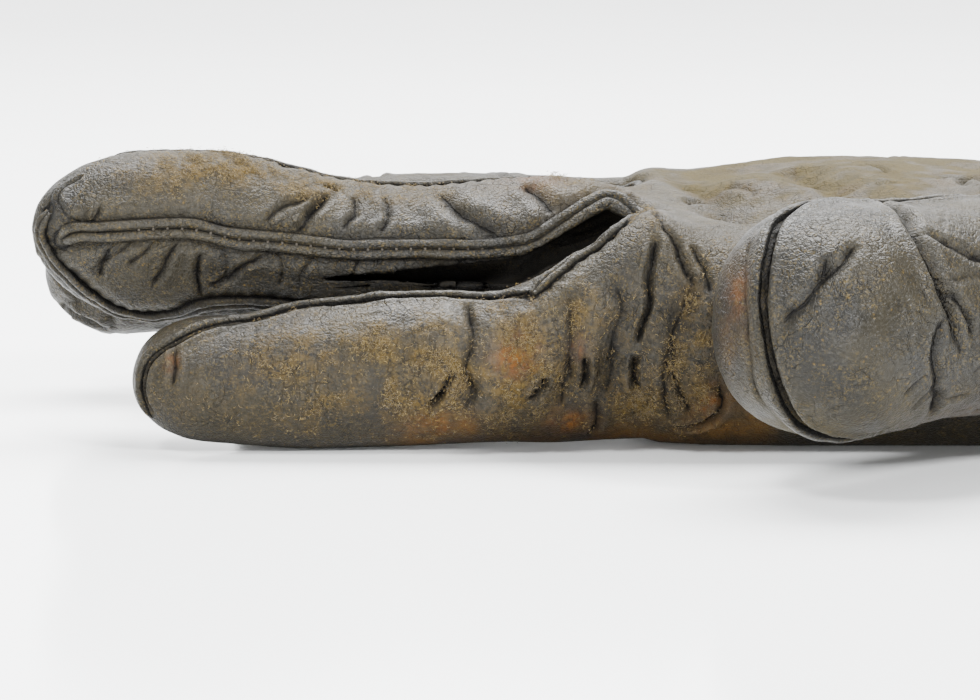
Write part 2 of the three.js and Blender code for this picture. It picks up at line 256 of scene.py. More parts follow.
HAND = Tube(
    [
        [-180, 39, 24.6, 53, 24.6, 0],
        [-150, 39, 22.9, 48.5, 23.4, 0],
        [-128, 39, 21.3, 45, 21.8, 0],
        [-108, 39, 19.9, 42.5, 20.2, 0],
        [-84, 38.6, 19.1, 45.5, 19.5, 1],
        [-58, 38.4, 19.8, 47.8, 20.3, 2],
        [-42, 38.4, 20.2, 48.4, 20.7, 2],
        [-26, 38.4, 19.3, 48.6, 19.8, 2],
        [-14, 38.4, 18.4, 48.4, 18.9, 2],
        [-2, 38.6, 18.4, 48.2, 18.9, 2],
    ],
    dome=(-9, 6.5), power=2.6,
)


def melt(a, b, reach):
    """The union of two fields, rounded where they meet within reach."""
    share = np.clip(0.5 + 0.5 * (b - a) / reach, 0, 1)
    return b + (a - b) * share - reach * share * (1 - share)


# The slot between the index and middle fingers: places along it with its half thickness there.
SLOT = [
    ((-45.0, 16.0, 25.6), 0.3),
    ((-30.0, 15.0, 26.0), 1.7),
    ((-15.0, 14.5, 26.5), 2.3),
    ((0.0, 13.4, 33.9), 2.1),
]
SLOT_HALF_DEPTH = 8.5


def slot_distance(x, y, z):
    """Below zero inside the deep slot between the index and middle fingers."""
    nearest_leg = 1e3
    for (start, thin), (end, thick) in zip(SLOT, SLOT[1:]):
        leg = np.subtract(end, start)
        t = np.clip(((x - start[0]) * leg[0] + (z - start[2]) * leg[2]) / (leg[0] ** 2 + leg[2] ** 2), 0, 1)
        away = np.hypot(x - start[0] - t * leg[0], z - start[2] - t * leg[2])
        deep = y - start[1] - t * leg[1]
        spread = np.sqrt((away / (thin + (thick - thin) * t)) ** 2 + (deep / SLOT_HALF_DEPTH) ** 2) + 1e-6
        nearest_leg = np.minimum(nearest_leg, (spread - 1) * np.hypot(away, deep) / spread)
    return nearest_leg


# Hollows pressed into the back of the hand: the two ends of each one, and its radius.
# Their edges and those of the slot are rounded within a reach.
HOLLOWS = [
    ((0.0, 26.0, 47.0), (34.0, 8.0, 43.5), 8.5),
    ((15.0, 1.0, 47.0), (30.0, -8.0, 44.0), 10.0),
    ((40.0, -10.0, 49.5), (80.0, 8.0, 49.5), 9.5),
]
HOLLOW_REACH, SLOT_REACH = 5.0, 1.2


def hollow_distance(x, y, z):
    """Below zero inside the hollows over the back of the hand."""
    closest = 1e3
    for start, end, radius in HOLLOWS:
        leg = np.subtract(end, start)
        run = (x - start[0]) * leg[0] + (y - start[1]) * leg[1] + (z - start[2]) * leg[2]
        t = np.clip(run / (leg**2).sum(), 0, 1)
        across = [value - start[i] - t * leg[i] for i, value in enumerate((x, y, z))]
        closest = np.minimum(closest, np.sqrt(sum(value**2 for value in across)) - radius)
    return closest


# How far towards the wrist the thumb's root reaches, inside the hand.
THUMB_ROOT = 112.0


def thumb_distance(x, y, z):
    """Below zero inside the thumb, whose root stops inside the hand."""
    return np.maximum(THUMB.distance(x, y, z), x - THUMB_ROOT)


def leather_field(x, y, z):
    """Below zero inside the glove's leather."""
    blend = 0.3 + 6.7 * smoothstep(100, 72, x)
    field = melt(HAND.distance(x, y, z), thumb_distance(x, y, z), blend)
    reach = 0.5 + 6.5 * smoothstep(-5, 10, x)
    for tube in FINGERS.values():
        field = melt(field, tube.distance(x, y, z), reach)
    field = -melt(-field, hollow_distance(x, y, z), HOLLOW_REACH)
    field = -melt(-field, slot_distance(x, y, z), SLOT_REACH)
    return np.maximum(field, PRESSED - z)


def gradient(points, step=0.15):
    """The field at the points, and the way it grows."""
    value = leather_field(*points.T)
    slopes = []
    for axis in range(3):
        moved = points.copy()
        moved[:, axis] += step
        slopes.append((leather_field(*moved.T) - value) / step)
    return value, np.stack(slopes, axis=1)


def settle(points, rounds=2, depth=0.0):
    """The points moved straight onto the leather, or depth under it, and its outward normals there."""
    for _ in range(rounds):
        value, slope = gradient(points)
        steep = np.maximum((slope**2).sum(1), 0.05)
        points = points - np.clip((value + depth) / steep, -3, 3)[:, None] * slope
    normal = gradient(points)[1]
    return points, unit(normal)


def unit(vectors):
    return vectors / np.maximum(np.linalg.norm(vectors, axis=-1, keepdims=True), 1e-9)


def surface_net(field, axes):
    """The surface where the field on a grid is zero, as points and four-sided faces."""
    inside = field < 0
    cells = [n - 1 for n in field.shape]
    corners = [(i, j, k) for i in (0, 1) for j in (0, 1) for k in (0, 1)]
    count = sum(
        inside[i : cells[0] + i, j : cells[1] + j, k : cells[2] + k].astype(np.int8) for i, j, k in corners
    )
    mixed = (count > 0) & (count < 8)
    where = np.argwhere(mixed)
    number = np.full(mixed.shape, -1, np.int64)
    number[mixed] = np.arange(len(where))
    total, hits = np.zeros((len(where), 3)), np.zeros(len(where))
    for a in corners:
        for b in corners:
            if sum(b) - sum(a) != 1 or any(m < n for m, n in zip(b, a)):
                continue
            ends = [tuple((where + corner).T) for corner in (a, b)]
            low, high = field[ends[0]], field[ends[1]]
            crossing = (low < 0) != (high < 0)
            share = np.where(crossing, low / np.where(crossing, low - high, 1), 0)
            start = np.stack([axes[n][ends[0][n]] for n in range(3)], axis=1)
            end = np.stack([axes[n][ends[1][n]] for n in range(3)], axis=1)
            total += np.where(crossing[:, None], start + (end - start) * share[:, None], 0)
            hits += crossing
    faces = []
    for axis in range(3):
        low = [slice(1, -1)] * 3
        high = [slice(1, -1)] * 3
        low[axis], high[axis] = slice(0, -1), slice(1, None)
        first, second = inside[tuple(low)], inside[tuple(high)]
        for leaving in (True, False):
            edge = np.argwhere((first & ~second) if leaving else (~first & second))
            others = [n for n in range(3) if n != axis]
            edge[:, others] += 1
            ring = []
            for du, dv in ((0, 0), (-1, 0), (-1, -1), (0, -1)):
                cell = edge.copy()
                cell[:, others[0]] += du
                cell[:, others[1]] += dv
                ring.append(number[tuple(cell.T)])
            quad = np.stack(ring, axis=1)
            faces.append(quad if leaving != (axis == 1) else quad[:, ::-1])
    return total / hits[:, None], np.concatenate(faces)


def axis_steps(*stretches):
    """Grid places along one axis, from (start, end, step) stretches."""
    parts = [np.arange(start, end, step) for start, end, step in stretches]
    return np.concatenate(parts)


# ---------------------------------------------------------------- routes over the leather

def resample(route, step):
    """Evenly spaced points along a smooth curve through the route's points."""
    rows = np.asarray(route, float)
    lengths = np.concatenate([[0], np.cumsum(np.linalg.norm(np.diff(rows, axis=0), axis=1))])
    at = np.linspace(0, lengths[-1], max(int(lengths[-1] / step), 3) + 1)
    return np.stack([spline(lengths, rows[:, i], at) for i in range(3)], axis=1)


def nearest(line, points):
    """Each point's distance from the line, its place along it from 0 to 1, and the closest line point."""
    best = np.empty(len(points), int)
    for start in range(0, len(points), 20000):
        some = points[start : start + 20000]
        square = (some**2).sum(1)[:, None] - 2 * some @ line.T + (line**2).sum(1)
        best[start : start + 20000] = square.argmin(1)
    gap, along = np.full(len(points), np.inf), np.zeros(len(points))
    for low in (np.clip(best - 1, 0, len(line) - 2), np.clip(best, 0, len(line) - 2)):
        leg = line[low + 1] - line[low]
        t = np.clip(((points - line[low]) * leg).sum(1) / (leg**2).sum(1), 0, 1)
        distance = np.linalg.norm(points - line[low] - t[:, None] * leg, axis=1)
        along = np.where(distance < gap, (low + t) / (len(line) - 1), along)
        gap = np.minimum(distance, gap)
    return gap, along, best


def along_finger(tube, angle, places):
    """Route points along a finger at one angle round its section."""
    return [tuple(p) for p in tube.point(np.array(places, float), angle)]


# The seams from tip to hand, and below them the creases. The points of those in the photograph's view were
# picked by eye in it, carried onto the leather by a scratch program, then rounded and partly moved by hand.
INDEX_SEAM = [
    (-70.5, -6.5, 5.5), (-72, -7, 10.5), (-71, -7, 14.4), (-67.5, -7, 17), (-61, -5, 19.7),
    (-54.5, -4.5, 20.6), (-48, -2.3, 22.2), (-38, -3, 23.3), (-24, -3.2, 23.8), (-12.3, -6.2, 24.8),
]
INDEX_WEB = [
    (-12.3, -6.2, 24.8), (-8, -4, 28), (-4.8, -2, 30.2), (-1.4, -1.6, 32.4), (1.1, -0.6, 34.2),
    (3.2, 2.6, 34.6), (4.6, 5.4, 35.2), (4.6, 9.4, 36.2),
]
MIDDLE_SEAM = [
    (-86.4, 7.8, 31.6), (-84, 6.4, 32.9), (-80.5, 5.4, 33.2), (-76, 4.7, 33.6), (-68, 4.5, 33.9),
    (-57, 5.3, 32), (-49, 6, 31.1), (-42, 6.6, 30.3), (-30, 7.5, 30.2), (-17, 8.3, 30.3),
    (-12.5, 8.9, 31), (-7, 10.8, 34.2), (-3, 12.6, 36.6), (0.2, 13.6, 38), (3, 12.6, 37.6),
    (4.6, 9.4, 36.2),
]
MIDDLE_LOWER_SEAM = [
    (-88.6, 9.4, 36), (-89.8, 10.4, 32.6), (-88.3, 10.1, 28.6), (-85.6, 10, 25.5), (-82.6, 11, 22.8),
    (-79, 12.6, 20.6), (-74, 13.6, 19.4), (-69, 12.8, 19.6), (-64.5, 10.4, 21.2), (-58, 10, 21),
    (-40, 11, 20.3),
]
MIDDLE_CAP = [(-82.8, 11, 42.4), (-86, 10, 40.1), (-87, 9, 38), (-85, 6.8, 35.8), (-82.8, 5.8, 34.5)]
THUMB_SEAM = along_finger(THUMB, 8, [-8, 4, 16, 28]) + [
    (27.4, -39.6, 41.8), (23.4, -44, 40.2), (21, -50, 35.2), (20.3, -53, 28.5), (21.2, -53.8, 22.6),
    (23, -53, 16.3), (25.9, -49.8, 11.3),
] + along_finger(THUMB, -164, [33, 20])
THUMB_LINE = [
    (19, -44.5, 38.5), (18, -47.5, 34.1), (17.8, -50.1, 28.8), (18.3, -51.1, 22), (21.4, -48.2, 12.9),
]
RING_MIDDLE_WEB, RING_LITTLE_WEB = (5.5, 35.5, 37.0), (5.0, 65.0, 33.0)
FAR_PLACES = [92, 80, 64, 48, 32, 18, 8, 0]
MIDDLE_FAR_SEAM = along_finger(FINGERS["middle"], 42, FAR_PLACES[1:]) + [(3, 30.5, 38), RING_MIDDLE_WEB]
RING_NEAR_SEAM = along_finger(FINGERS["ring"], -20, FAR_PLACES) + [(3, 41, 37.5), RING_MIDDLE_WEB]
RING_FAR_SEAM = along_finger(FINGERS["ring"], 66, FAR_PLACES) + [(3, 60.5, 34), RING_LITTLE_WEB]
LITTLE_NEAR_SEAM = along_finger(FINGERS["little"], -22, FAR_PLACES[2:]) + [(3, 70, 32.5), RING_LITTLE_WEB]
PALM_PLACES = [60, 45, 30, 15, 4]
HAND_PLACES = [-6, -20, -40, -60, -80, -100, -120, -140, -160, -168]
HAND_NEAR_SEAM = along_finger(HAND, -122, HAND_PLACES[4:])
HAND_FAR_SEAM = along_finger(HAND, 96, HAND_PLACES)

# (depth, width, how far the sides rise) of some creases, then their routes.
CREASES = [
    ((0.85, 0.50, 0.35), [
        [(-67.8, 4.6, 31.6), (-70.5, 5.8, 27.6), (-72.5, 7.3, 24.7)],
        [(-53.8, 5.7, 29.6), (-58.1, 6.5, 26.7), (-63.6, 8, 24)],
        [(-64, 5.1, 30.2), (-64.8, 5.9, 27.5), (-64.5, 7.3, 25), (-63.8, 9, 22.7)],
        [(-78.2, 5, 31.1), (-80.8, 7.6, 25.9)],
    ]),
    ((0.5, 0.40, 0.3), [
        [(-71.3, 4.6, 31.5), (-75.8, 5.9, 27.6)],
        [(-52.4, 5.7, 29.8), (-51.8, 8, 24)],
        [(-47, 6.2, 29), (-49, 7, 26.2), (-48.6, 9, 23)],
        [(-74.5, 4.7, 32), (-79, 6, 28.8), (-82.5, 8, 26.6)],
        [(-60.8, 5.2, 30), (-60, 6, 27.6), (-61, 7, 25.4)],
        [(-39, 7, 28.6), (-41.5, 8, 25.5)],
    ]),
    ((1.1, 0.75, 0.45), [
        [(-44.6, 12, 38.9), (-46.6, 8, 36.2), (-49.6, 5.8, 32.8)],
    ]),
    ((0.7, 0.6, 0.4), [
        [(-45.2, 14, 39.9), (-42.6, 13.2, 39)],
        [(-36.2, 14.2, 38.6), (-35, 9.7, 35.4), (-35.4, 7.6, 32.4)],
        [(-40.5, 13, 38.6), (-40, 9, 35.6), (-41.8, 7, 33)],
        [(-47, 10, 38), (-51, 7.4, 36.6), (-54, 5.8, 34)],
    ]),
    ((1.0, 1.5, 0.5), [
        [(-27.4, 15.2, 38.8), (-23, 10.1, 35.8), (-17.2, 8.4, 32)],
        [(-13.5, 16, 40), (-10.5, 13.2, 37.4), (-8.4, 11.4, 35.2)],
    ]),
    ((0.6, 0.4, 0.3), [
        MIDDLE_CAP,
        [(-80.2, 5.4, 37.4), (-81.4, 5.2, 34.8)],
    ]),
    ((0.7, 0.5, 0.35), [
        [(-21.7, -4.2, 23.4), (-21.5, -9.3, 19.6), (-21.8, -11.2, 13.7), (-21.5, -9.8, 7.9)],
        [(-67.2, -7.5, 16.5), (-67.6, -9.2, 14.2), (-67.7, -10.1, 10.9)],
        [(-6.2, -8.8, 22.6), (-6.8, -10, 17), (-6.2, -8.6, 11)],
    ]),
    ((0.25, 0.45, 0.3), [
        [(-54.5, -4.8, 20.4), (-55.3, -9.7, 16.6), (-56.2, -11.4, 12.5)],
        [(-14.5, -7.2, 23), (-14.9, -10, 19.5), (-14.4, -11, 15)],
    ]),
    ((1.5, 0.50, 0.55), [
        [(-25.2, -11.2, 11.3), (-26.7, -10.8, 9.4), (-28.6, -10.1, 7.4)],
        [(-24.2, -11.2, 13), (-25.4, -11.2, 11.2)],
        [(-10.1, -10.1, 12.7), (-10.4, -9.7, 11.4), (-11.4, -9.3, 9.8), (-12.7, -8.8, 8.3)],
        [(-3.8, -9.9, 15.7), (-3.7, -9.3, 13.1), (-4.8, -8.6, 10.5)],
    ]),
    ((1.8, 0.62, 0.5), [
        [(3.9, -9, 15.8), (3.7, -8.4, 12.6), (4.1, -6.9, 9.6)],
    ]),
    ((1.1, 0.6, 0.5), [
        [(6.5, -5, 34), (6.1, -8.5, 28.8), (5.5, -9.3, 25), (4.6, -9.4, 20.4), (4.2, -8.9, 16.8)],
        [(16.6, -12, 11), (16.9, -8.5, 7.7), (14.1, -5.8, 4.4), (8.6, -4.1, 3.4)],
    ]),
    ((0.8, 0.6, 0.4), [
        [(7.2, 4, 38), (7.8, -1.3, 36.9), (9.2, -5.1, 34), (10.5, -7, 30.8), (11.8, -8.6, 27.7),
         (12.9, -9.8, 25.1)],
        [(8.3, -10.8, 16.1), (10.5, -9.7, 10.3), (12.4, -7, 5.9)],
        [(7.7, -10.4, 14.2), (8.9, -6, 5.1)],
        [(-2, -7.2, 8.6), (-3, -2.1, 2.2)],
        [(12.5, -6, 33.5), (14.5, -8.6, 29.5), (15.4, -10, 25)],
    ]),
    ((0.6, 1.7, 0.6), [
        [(-21.7, -4.2, 23.4), (-21.5, -9.3, 19.6), (-21.8, -11.2, 13.7), (-22.5, -9, 6)],
        [(-6.2, -6.8, 25.5), (-6.8, -10, 17), (-7.4, -7, 6)],
        [(1.2, -6, 27), (0.4, -9, 18), (-0.6, -7, 8)],
        [(12.5, -8, 28), (9.6, -10, 20), (10.5, -9, 10)],
    ]),
    ((1.9, 3.2, 0.35), [
        [(13.8, 32.8, 38.8), (18.7, 16, 37.8), (23.7, 7.5, 36.2)],
        [(30.8, 39.7, 39.8), (34.5, 23.8, 39.6), (38.6, 15.3, 38.8)],
    ]),
    ((0.8, 0.9, 0.35), [
        [(34.1, -52.3, 37.5), (31.3, -54.9, 34.9), (28.7, -55.9, 32.8), (26.7, -56.3, 30.1),
         (23.2, -55.3, 25.8)],
        [(29.3, -54.1, 35.9), (28.7, -55.9, 32)],
        [(47.5, -47.1, 30.4), (50.9, -44.7, 24.1)],
        [(43, -44.5, 38.4), (47.9, -42.5, 36.4), (52.3, -40.3, 34.5), (60, -36, 33)],
    ]),
    ((1.6, 1.05, 0.4), [
        [(38.6, -30, 42), (41.6, -39.8, 40.8), (42.4, -44.6, 38.7), (44.1, -47.1, 35.6), (45.3, -48.6, 31.9),
         (46.6, -48.3, 29.1), (48.7, -46.6, 22.3)],
    ]),
    ((0.9, 0.8, 0.35), [
        [(46.4, -48.9, 28), (45, -49.8, 20.9), (45.7, -47.7, 17.2), (46.1, -41, 11.5)],
    ]),
    ((0.6, 0.6, 0.4), [
        [(45.6, -48.4, 31), (49, -46.3, 28.4), (51.5, -44.6, 23)],
        [(46.4, -48, 29.5), (48.2, -47, 24.6), (49.6, -45.6, 20.4)],
    ]),
    ((0.3, 0.5, 0.4), [
        [(45.3, -48.8, 32.5), (50.5, -45.5, 32), (57, -40.5, 33.2)],
        [(44.9, -48.2, 16.5), (49, -45.4, 13.5), (53, -41.5, 11.5)],
        [(52, -44, 17), (55, -41.4, 22), (56, -40, 27)],
    ]),
    ((0.4, 0.5, 0.3), [
        [(44.3, -49.8, 18.9), (40.3, -51.7, 15.8)],
        [(45, -48.2, 16.9), (41.7, -48, 13.2)],
        THUMB_LINE,
    ]),
]

# Soft spots of each mask: (where, half sizes, strength).
NAP_SPOTS = [
    ((-20, -10, 14), (42, 9, 12), 0.3),
    ((-36, -10, 17.5), (4, 8, 3.5), 0.8),
    ((-28, -10, 13), (8, 9, 7), 1.0),
    ((-14.5, -9, 14), (7, 8, 9), 1.0),
    ((-4, -8, 21), (3.2, 6, 5), 0.8),
    ((4, -7, 8.5), (4.5, 7, 5), 0.8),
    ((12, -8, 16), (5, 8, 10), 0.75),
    ((-46, -10, 13), (10, 9, 8), 0.55),
    ((-60, 11, 43), (13, 6, 2.6), 1.0),
    ((-68, 9, 41), (8, 5, 2.6), 0.5),
    ((-47, 13, 40), (7, 6, 2.4), 0.7),
    ((-36, 15, 39), (9, 7, 2.4), 0.45),
    ((-8, 18, 41), (6, 8, 3), 0.4),
    ((4, 0, 36), (4, 6, 3), 0.35),
    ((18, -6, 20), (4, 8, 10), 0.5),
]
STAIN_SPOTS = [
    ((-67.5, -8.8, 14.3), (1.1, 3, 1.4), 0.45),
    ((-14.8, -10.5, 15.6), (3.0, 4, 2.8), 1.0),
    ((-5, -9.5, 16.8), (1.4, 3, 1.6), 0.55),
    ((15.2, -8, 8.5), (2.2, 5, 2.4), 0.8),
    ((-6.5, -6, 4.8), (3, 5, 2), 0.7),
    ((17.2, -47, 30), (1.6, 5, 3.4), 0.45),
    ((-12, 20, 41.5), (5, 6, 3), 0.5),
    ((-27, -7, 5), (5, 5, 2), 0.5),
]
TAN_SPOTS = [
    ((-26, -6, 2.5), (7, 8, 4), 1.0),
    ((0, -3, 0), (16, 12, 4.5), 0.85),
    ((18, -6, 5), (7, 12, 5), 1.0),
    ((17.2, -46, 27), (2.2, 7, 8), 0.55),
    ((30, 30, 42), (40, 30, 8), 0.35),
    ((80, 35, 42), (40, 40, 12), 0.3),
    ((62, -36, 7), (18, 16, 5), 0.6),
]
DUSTY_SPOTS = [
    ((40, 40, 42), (30, 32, 12), 2.2),
    ((85, 38, 42), (34, 46, 14), 2.6),
    ((140, 38, 44), (44, 60, 26), 2.6),
    ((-30, 40, 44), (50, 26, 9), 0.6),
    ((64, -10, 42), (18, 18, 8), 0.8),
    ((27, -46, 10), (12, 9, 7), 0.6),
]
POLISH_SPOTS = [
    ((34, -54, 28), (14, 12, 15), 1.0),
    ((58, -42, 28), (13, 14, 12), 0.8),
    ((-62, -9, 13), (11, 8, 8), 0.6),
    ((-30, -8, 22), (16, 6, 4), 0.5),
    ((-70, 6, 38), (16, 6, 5), 0.4),
    ((-14, 12, 37), (12, 7, 5), 0.5),
]
# Spots darkened through the crease mask: painted shade along the slot under the middle finger, and darker
# patches by the index finger's base.
GRIME_AND_SHADE_SPOTS = [
    ((10, -8, 22), (8, 8, 14), 0.6),
    ((18, -6, 15), (7, 9, 12), 0.75),
    ((-4, -8, 14), (6, 8, 12), 0.4),
    ((-60, 8, 24), (26, 6, 5), 0.45),
    ((-36, 8, 26), (16, 7, 4), 0.7),
]


# ---------------------------------------------------------------- relief

MASKS = ("crease", "wear", "nap", "stain", "tan", "dusty", "polish")
FAR_LINE = 2.0


def swell(points):
    """How far the padding under the leather pushes it out."""
    broad = 0.55 * noise(points, 17, 1) + 0.28 * noise(points, 8, 2)
    ball = 1.2 * np.exp(-(((points - (31, -53, 27)) / (9, 9, 9)) ** 2).sum(1))
    return broad * smoothstep(0.2, 6, points[:, 2]) + ball


class Relief:
    """What is laid over bare leather at a set of points: its rise, and the masks of its material, painted
    shade among them.
    """

    def __init__(self, points, normals):
        self.points, self.normals = points, normals
        self.lift = swell(points)
        self.masks = {name: np.zeros(len(points)) for name in MASKS}
        self.masks["line"] = np.full(len(points), FAR_LINE)

    def around(self, route, reach, wiggle=0.0):
        """Which points lie near a route: their distances, places along it and sides, and its length."""
        line, up = settle(resample(route, 0.4), 3)
        aside = unit(np.cross(up, np.gradient(line, axis=0)))
        bends = wiggle * (noise(line, 4.5, 20) + 0.4 * noise(line, 1.6, 21))
        line = line + aside * bends[:, None]
        low, high = line.min(0) - reach, line.max(0) + reach
        near = np.flatnonzero(((self.points > low) & (self.points < high)).all(1))
        gap, along, best = nearest(line, self.points[near])
        facing = (up[best] * self.normals[near]).sum(1) > 0.1
        keep = facing & (gap < reach)
        side = np.where(((self.points[near] - line[best]) * aside[best]).sum(1) < 0, -1.0, 1.0)
        return near[keep], gap[keep], along[keep], side[keep], len(line) * 0.4

    def draw(self, near, offset):
        """Keeps each point's signed distance from the closest dark line, partly crack and partly painted
        shade along folds and welt edges, which stays crisp on any mesh.
        """
        closer = np.abs(offset) < np.abs(self.masks["line"][near])
        self.masks["line"][near[closer]] = offset[closer]

    def mark(self, name, near, amount):
        self.masks[name][near] = np.maximum(self.masks[name][near], amount)

    def groove(self, route, depth, width, rise, taper=0.14, shade_and_dirt=1.0, wiggle=0.7):
        """A crease: a narrow valley with a raised side on each hand, fading out at its ends, the valley
        darkened with painted shade and dirt.
        """
        near, gap, along, side, _ = self.around(route, 4.5 * width + 0.8, wiggle)
        fade = smoothstep(0, taper, np.minimum(along, 1 - along)) if taper else 1.0
        uneven = 1 + 0.35 * noise(self.points[near], 2.2, 3)
        sides = bell(gap - 2.0 * width, 1.1 * width)
        self.lift[near] -= depth * fade * uneven * (notch(gap, width) - rise * sides)
        shade_and_dirt = shade_and_dirt * min(1.0, 0.12 + depth / 1.15)
        # Painted shade in the crease's valley, partly dirt, darker where the crease is deeper.
        self.mark("crease", near, fade * shade_and_dirt * uneven * bell(gap, 0.5 + 0.4 * width))
        self.draw(near, gap * side)
        self.mark("wear", near, fade * rise * sides)

    def bed(self, route, width, puff=0.45, pitch=2.6):
        """The valley that a welt lies in, with a dark line of painted shade on each side and puckered
        leather beyond.
        """
        near, gap, along, _, length = self.around(route, width / 2 + 6)
        beyond = gap - width / 2
        pucker = np.sin(along * length * 2 * math.pi / pitch + 3 * noise(self.points[near], 6, 4))
        self.lift[near] -= 0.5 * bell(gap, width / 2)
        self.lift[near] += puff * bell(beyond - 2.4, 1.7)
        self.lift[near] += 0.16 * pucker * bell(beyond - 1.2, 1.4)
        # Painted shade along each side of the welt.
        self.mark("crease", near, bell(beyond, 0.7))
        self.mark("crease", near, 0.4 * bell(beyond - 0.8, 1.1))
        self.draw(near, beyond)
        self.mark("wear", near, 0.4 * bell(beyond - 2.4, 1.2))

    def spots(self, name, listed, size=2.4):
        """Soft spots of one mask with broken edges."""
        uneven = 0.7 * noise(self.points, size, 5) + 0.5 * noise(self.points, size / 3, 6)
        broken = 0.25 + 0.85 * smoothstep(-0.4, 0.5, uneven)
        total = np.zeros(len(self.points))
        for centre, radii, strength in listed:
            away = (((self.points - centre) / radii) ** 2).sum(1)
            total = np.maximum(total, strength * np.exp(-away))
        self.masks[name] = np.clip(np.maximum(self.masks[name], total * broken), 0, 1)


def wander(count, seed, spread, chosen):
    """Routes of small random creases over the chosen points of the skin."""
    rng = np.random.default_rng(seed)
    start = rng.choice(chosen, count)
    place, up = skin_points[start], skin_normals[start]
    heading = np.cross(up, np.array([1.0, 0.0, 0.0])) + spread * rng.normal(size=(count, 3))
    turn = rng.normal(size=count) * 0.35
    steps, rows = rng.uniform(1.2, 3.2, count), [place]
    for _ in range(4):
        heading = unit(heading - (heading * up).sum(1)[:, None] * up)
        heading = unit(heading + turn[:, None] * np.cross(up, heading))
        place, up = settle(place + steps[:, None] * heading, 2)
        rows.append(place)
    return np.stack(rows, axis=1)


def shown_front(points):
    """The part of the glove where the creases are placed one by one."""
    return (points[:, 1] < 15) & (points[:, 0] < 60)


def add_seams(relief):
    for route in (
        MIDDLE_SEAM, MIDDLE_LOWER_SEAM, MIDDLE_FAR_SEAM, RING_NEAR_SEAM, RING_FAR_SEAM, LITTLE_NEAR_SEAM,
    ):
        relief.bed(route, 2.6)
    for route in (INDEX_WEB, HAND_NEAR_SEAM, HAND_FAR_SEAM):
        relief.bed(route, 2.4, puff=0.3)
    relief.groove(INDEX_SEAM, 0.9, 0.55, 0.5, taper=0.04, wiggle=0)
    relief.groove(THUMB_SEAM, 1.7, 0.85, 0.35, taper=0.04, wiggle=0)
    for name, low in (("index", 112), ("middle", 130), ("ring", -112), ("ring", 158), ("little", -108)):
        relief.groove(along_finger(FINGERS[name], low, PALM_PLACES), 0.8, 0.6, 0.3)


def add_creases(relief):
    for (depth, width, rise), routes in CREASES:
        for route in routes:
            relief.groove(route, depth, width, rise, shade_and_dirt=0.3 if width > 2 else 1.0)
    away = np.flatnonzero(~shown_front(skin_points) & (skin_points[:, 2] > 1.5))
    for n, route in enumerate(wander(150, 11, 0.5, away)):
        relief.groove(route, 0.3 + 0.5 * (n % 5) / 4, 0.6 + 0.25 * (n % 3), 0.4, shade_and_dirt=0.6)
    front = np.flatnonzero(shown_front(skin_points) & (skin_points[:, 2] > 3))
    for n, route in enumerate(wander(90, 12, 0.6, front)):
        relief.groove(route, 0.12 + 0.05 * (n % 3), 0.35, 0.4, shade_and_dirt=0.35)


# The middle of the wrist, its two rows of stitches, and how far apart its gathers are.
WRIST, WRIST_ROWS, GATHER = 113, (109, 117), 6.5


def add_wrist(relief):
    """The back of the wrist drawn in by the elastic, with gathers that fade along the cuff and painted shade
    in their troughs.
    """
    x, y, z = skin_points.T
    above = smoothstep(8, 22, z)
    gather = np.sin(y * 2 * math.pi / GATHER + 2.5 * noise(skin_points, 14, 7))
    relief.lift -= 1.3 * above * bell(x - WRIST, 8)
    relief.lift += 0.75 * above * gather * bell(x - WRIST, 14)
    # Painted shade in the troughs of the gathers.
    relief.mark("crease", slice(None), 0.5 * above * bell(x - WRIST, 12) * smoothstep(0.1, -0.9, gather))
    for row in WRIST_ROWS:
        relief.lift -= 0.35 * above * bell(x - row, 0.6)


def add_grain(relief):
    """The small unevenness of old leather, coarser on the worn sides, and painted shade darkening the inside
    of the slot.
    """
    p = relief.points
    high = smoothstep(0.3, 3, p[:, 2]) * (1 - 0.6 * relief.masks["polish"])
    relief.lift += high * (0.11 * noise(p, 3.6, 8) + 0.05 * noise(p, 1.7, 9))
    # Painted shade: the leather in and round the slot is darkened through the crease mask.
    in_slot = smoothstep(5.0, 0.0, slot_distance(*p.T)) * smoothstep(5, 8, p[:, 1])
    relief.mark("crease", slice(None), in_slot)
    relief.lift += relief.masks["nap"] * (0.14 * noise(p, 1.2, 10) + 0.1)


# ---------------------------------------------------------------- meshes

MATERIALS = {}


def follow(piece, part):
    """The piece rides on the hand if it belongs to the hand; other pieces only have their place baked into
    their points.
    """
    if part == "hand":
        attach(piece, "hand")
    elif part == "thumb":
        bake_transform(piece)
    else:
        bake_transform(piece)


def make_piece(name, part, points, faces, materials, masks=None, kinds=None, normals=None):
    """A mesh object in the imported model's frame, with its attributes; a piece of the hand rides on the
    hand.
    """
    mesh = bpy.data.meshes.new(name)
    mesh.from_pydata(to_row(points).tolist(), [], faces if isinstance(faces, list) else faces.tolist())
    mesh.polygons.foreach_set("use_smooth", np.ones(len(mesh.polygons), bool))
    rest = mesh.attributes.new("rest", "FLOAT_VECTOR", "POINT")
    rest.data.foreach_set("vector", np.asarray(points, np.float32).ravel())
    for mask, values in (masks or {}).items():
        attribute = mesh.attributes.new(mask, "FLOAT", "POINT")
        attribute.data.foreach_set("value", np.asarray(values, np.float32))
    for material in materials:
        mesh.materials.append(MATERIALS[material])
    if kinds is not None:
        mesh.polygons.foreach_set("material_index", np.asarray(kinds, np.int32))
    if normals is not None:
        mesh.normals_split_custom_set_from_vertices(normals.tolist())
    piece = bpy.data.objects.new(name, mesh)
    bpy.context.scene.collection.objects.link(piece)
    follow(piece, part)
    return piece


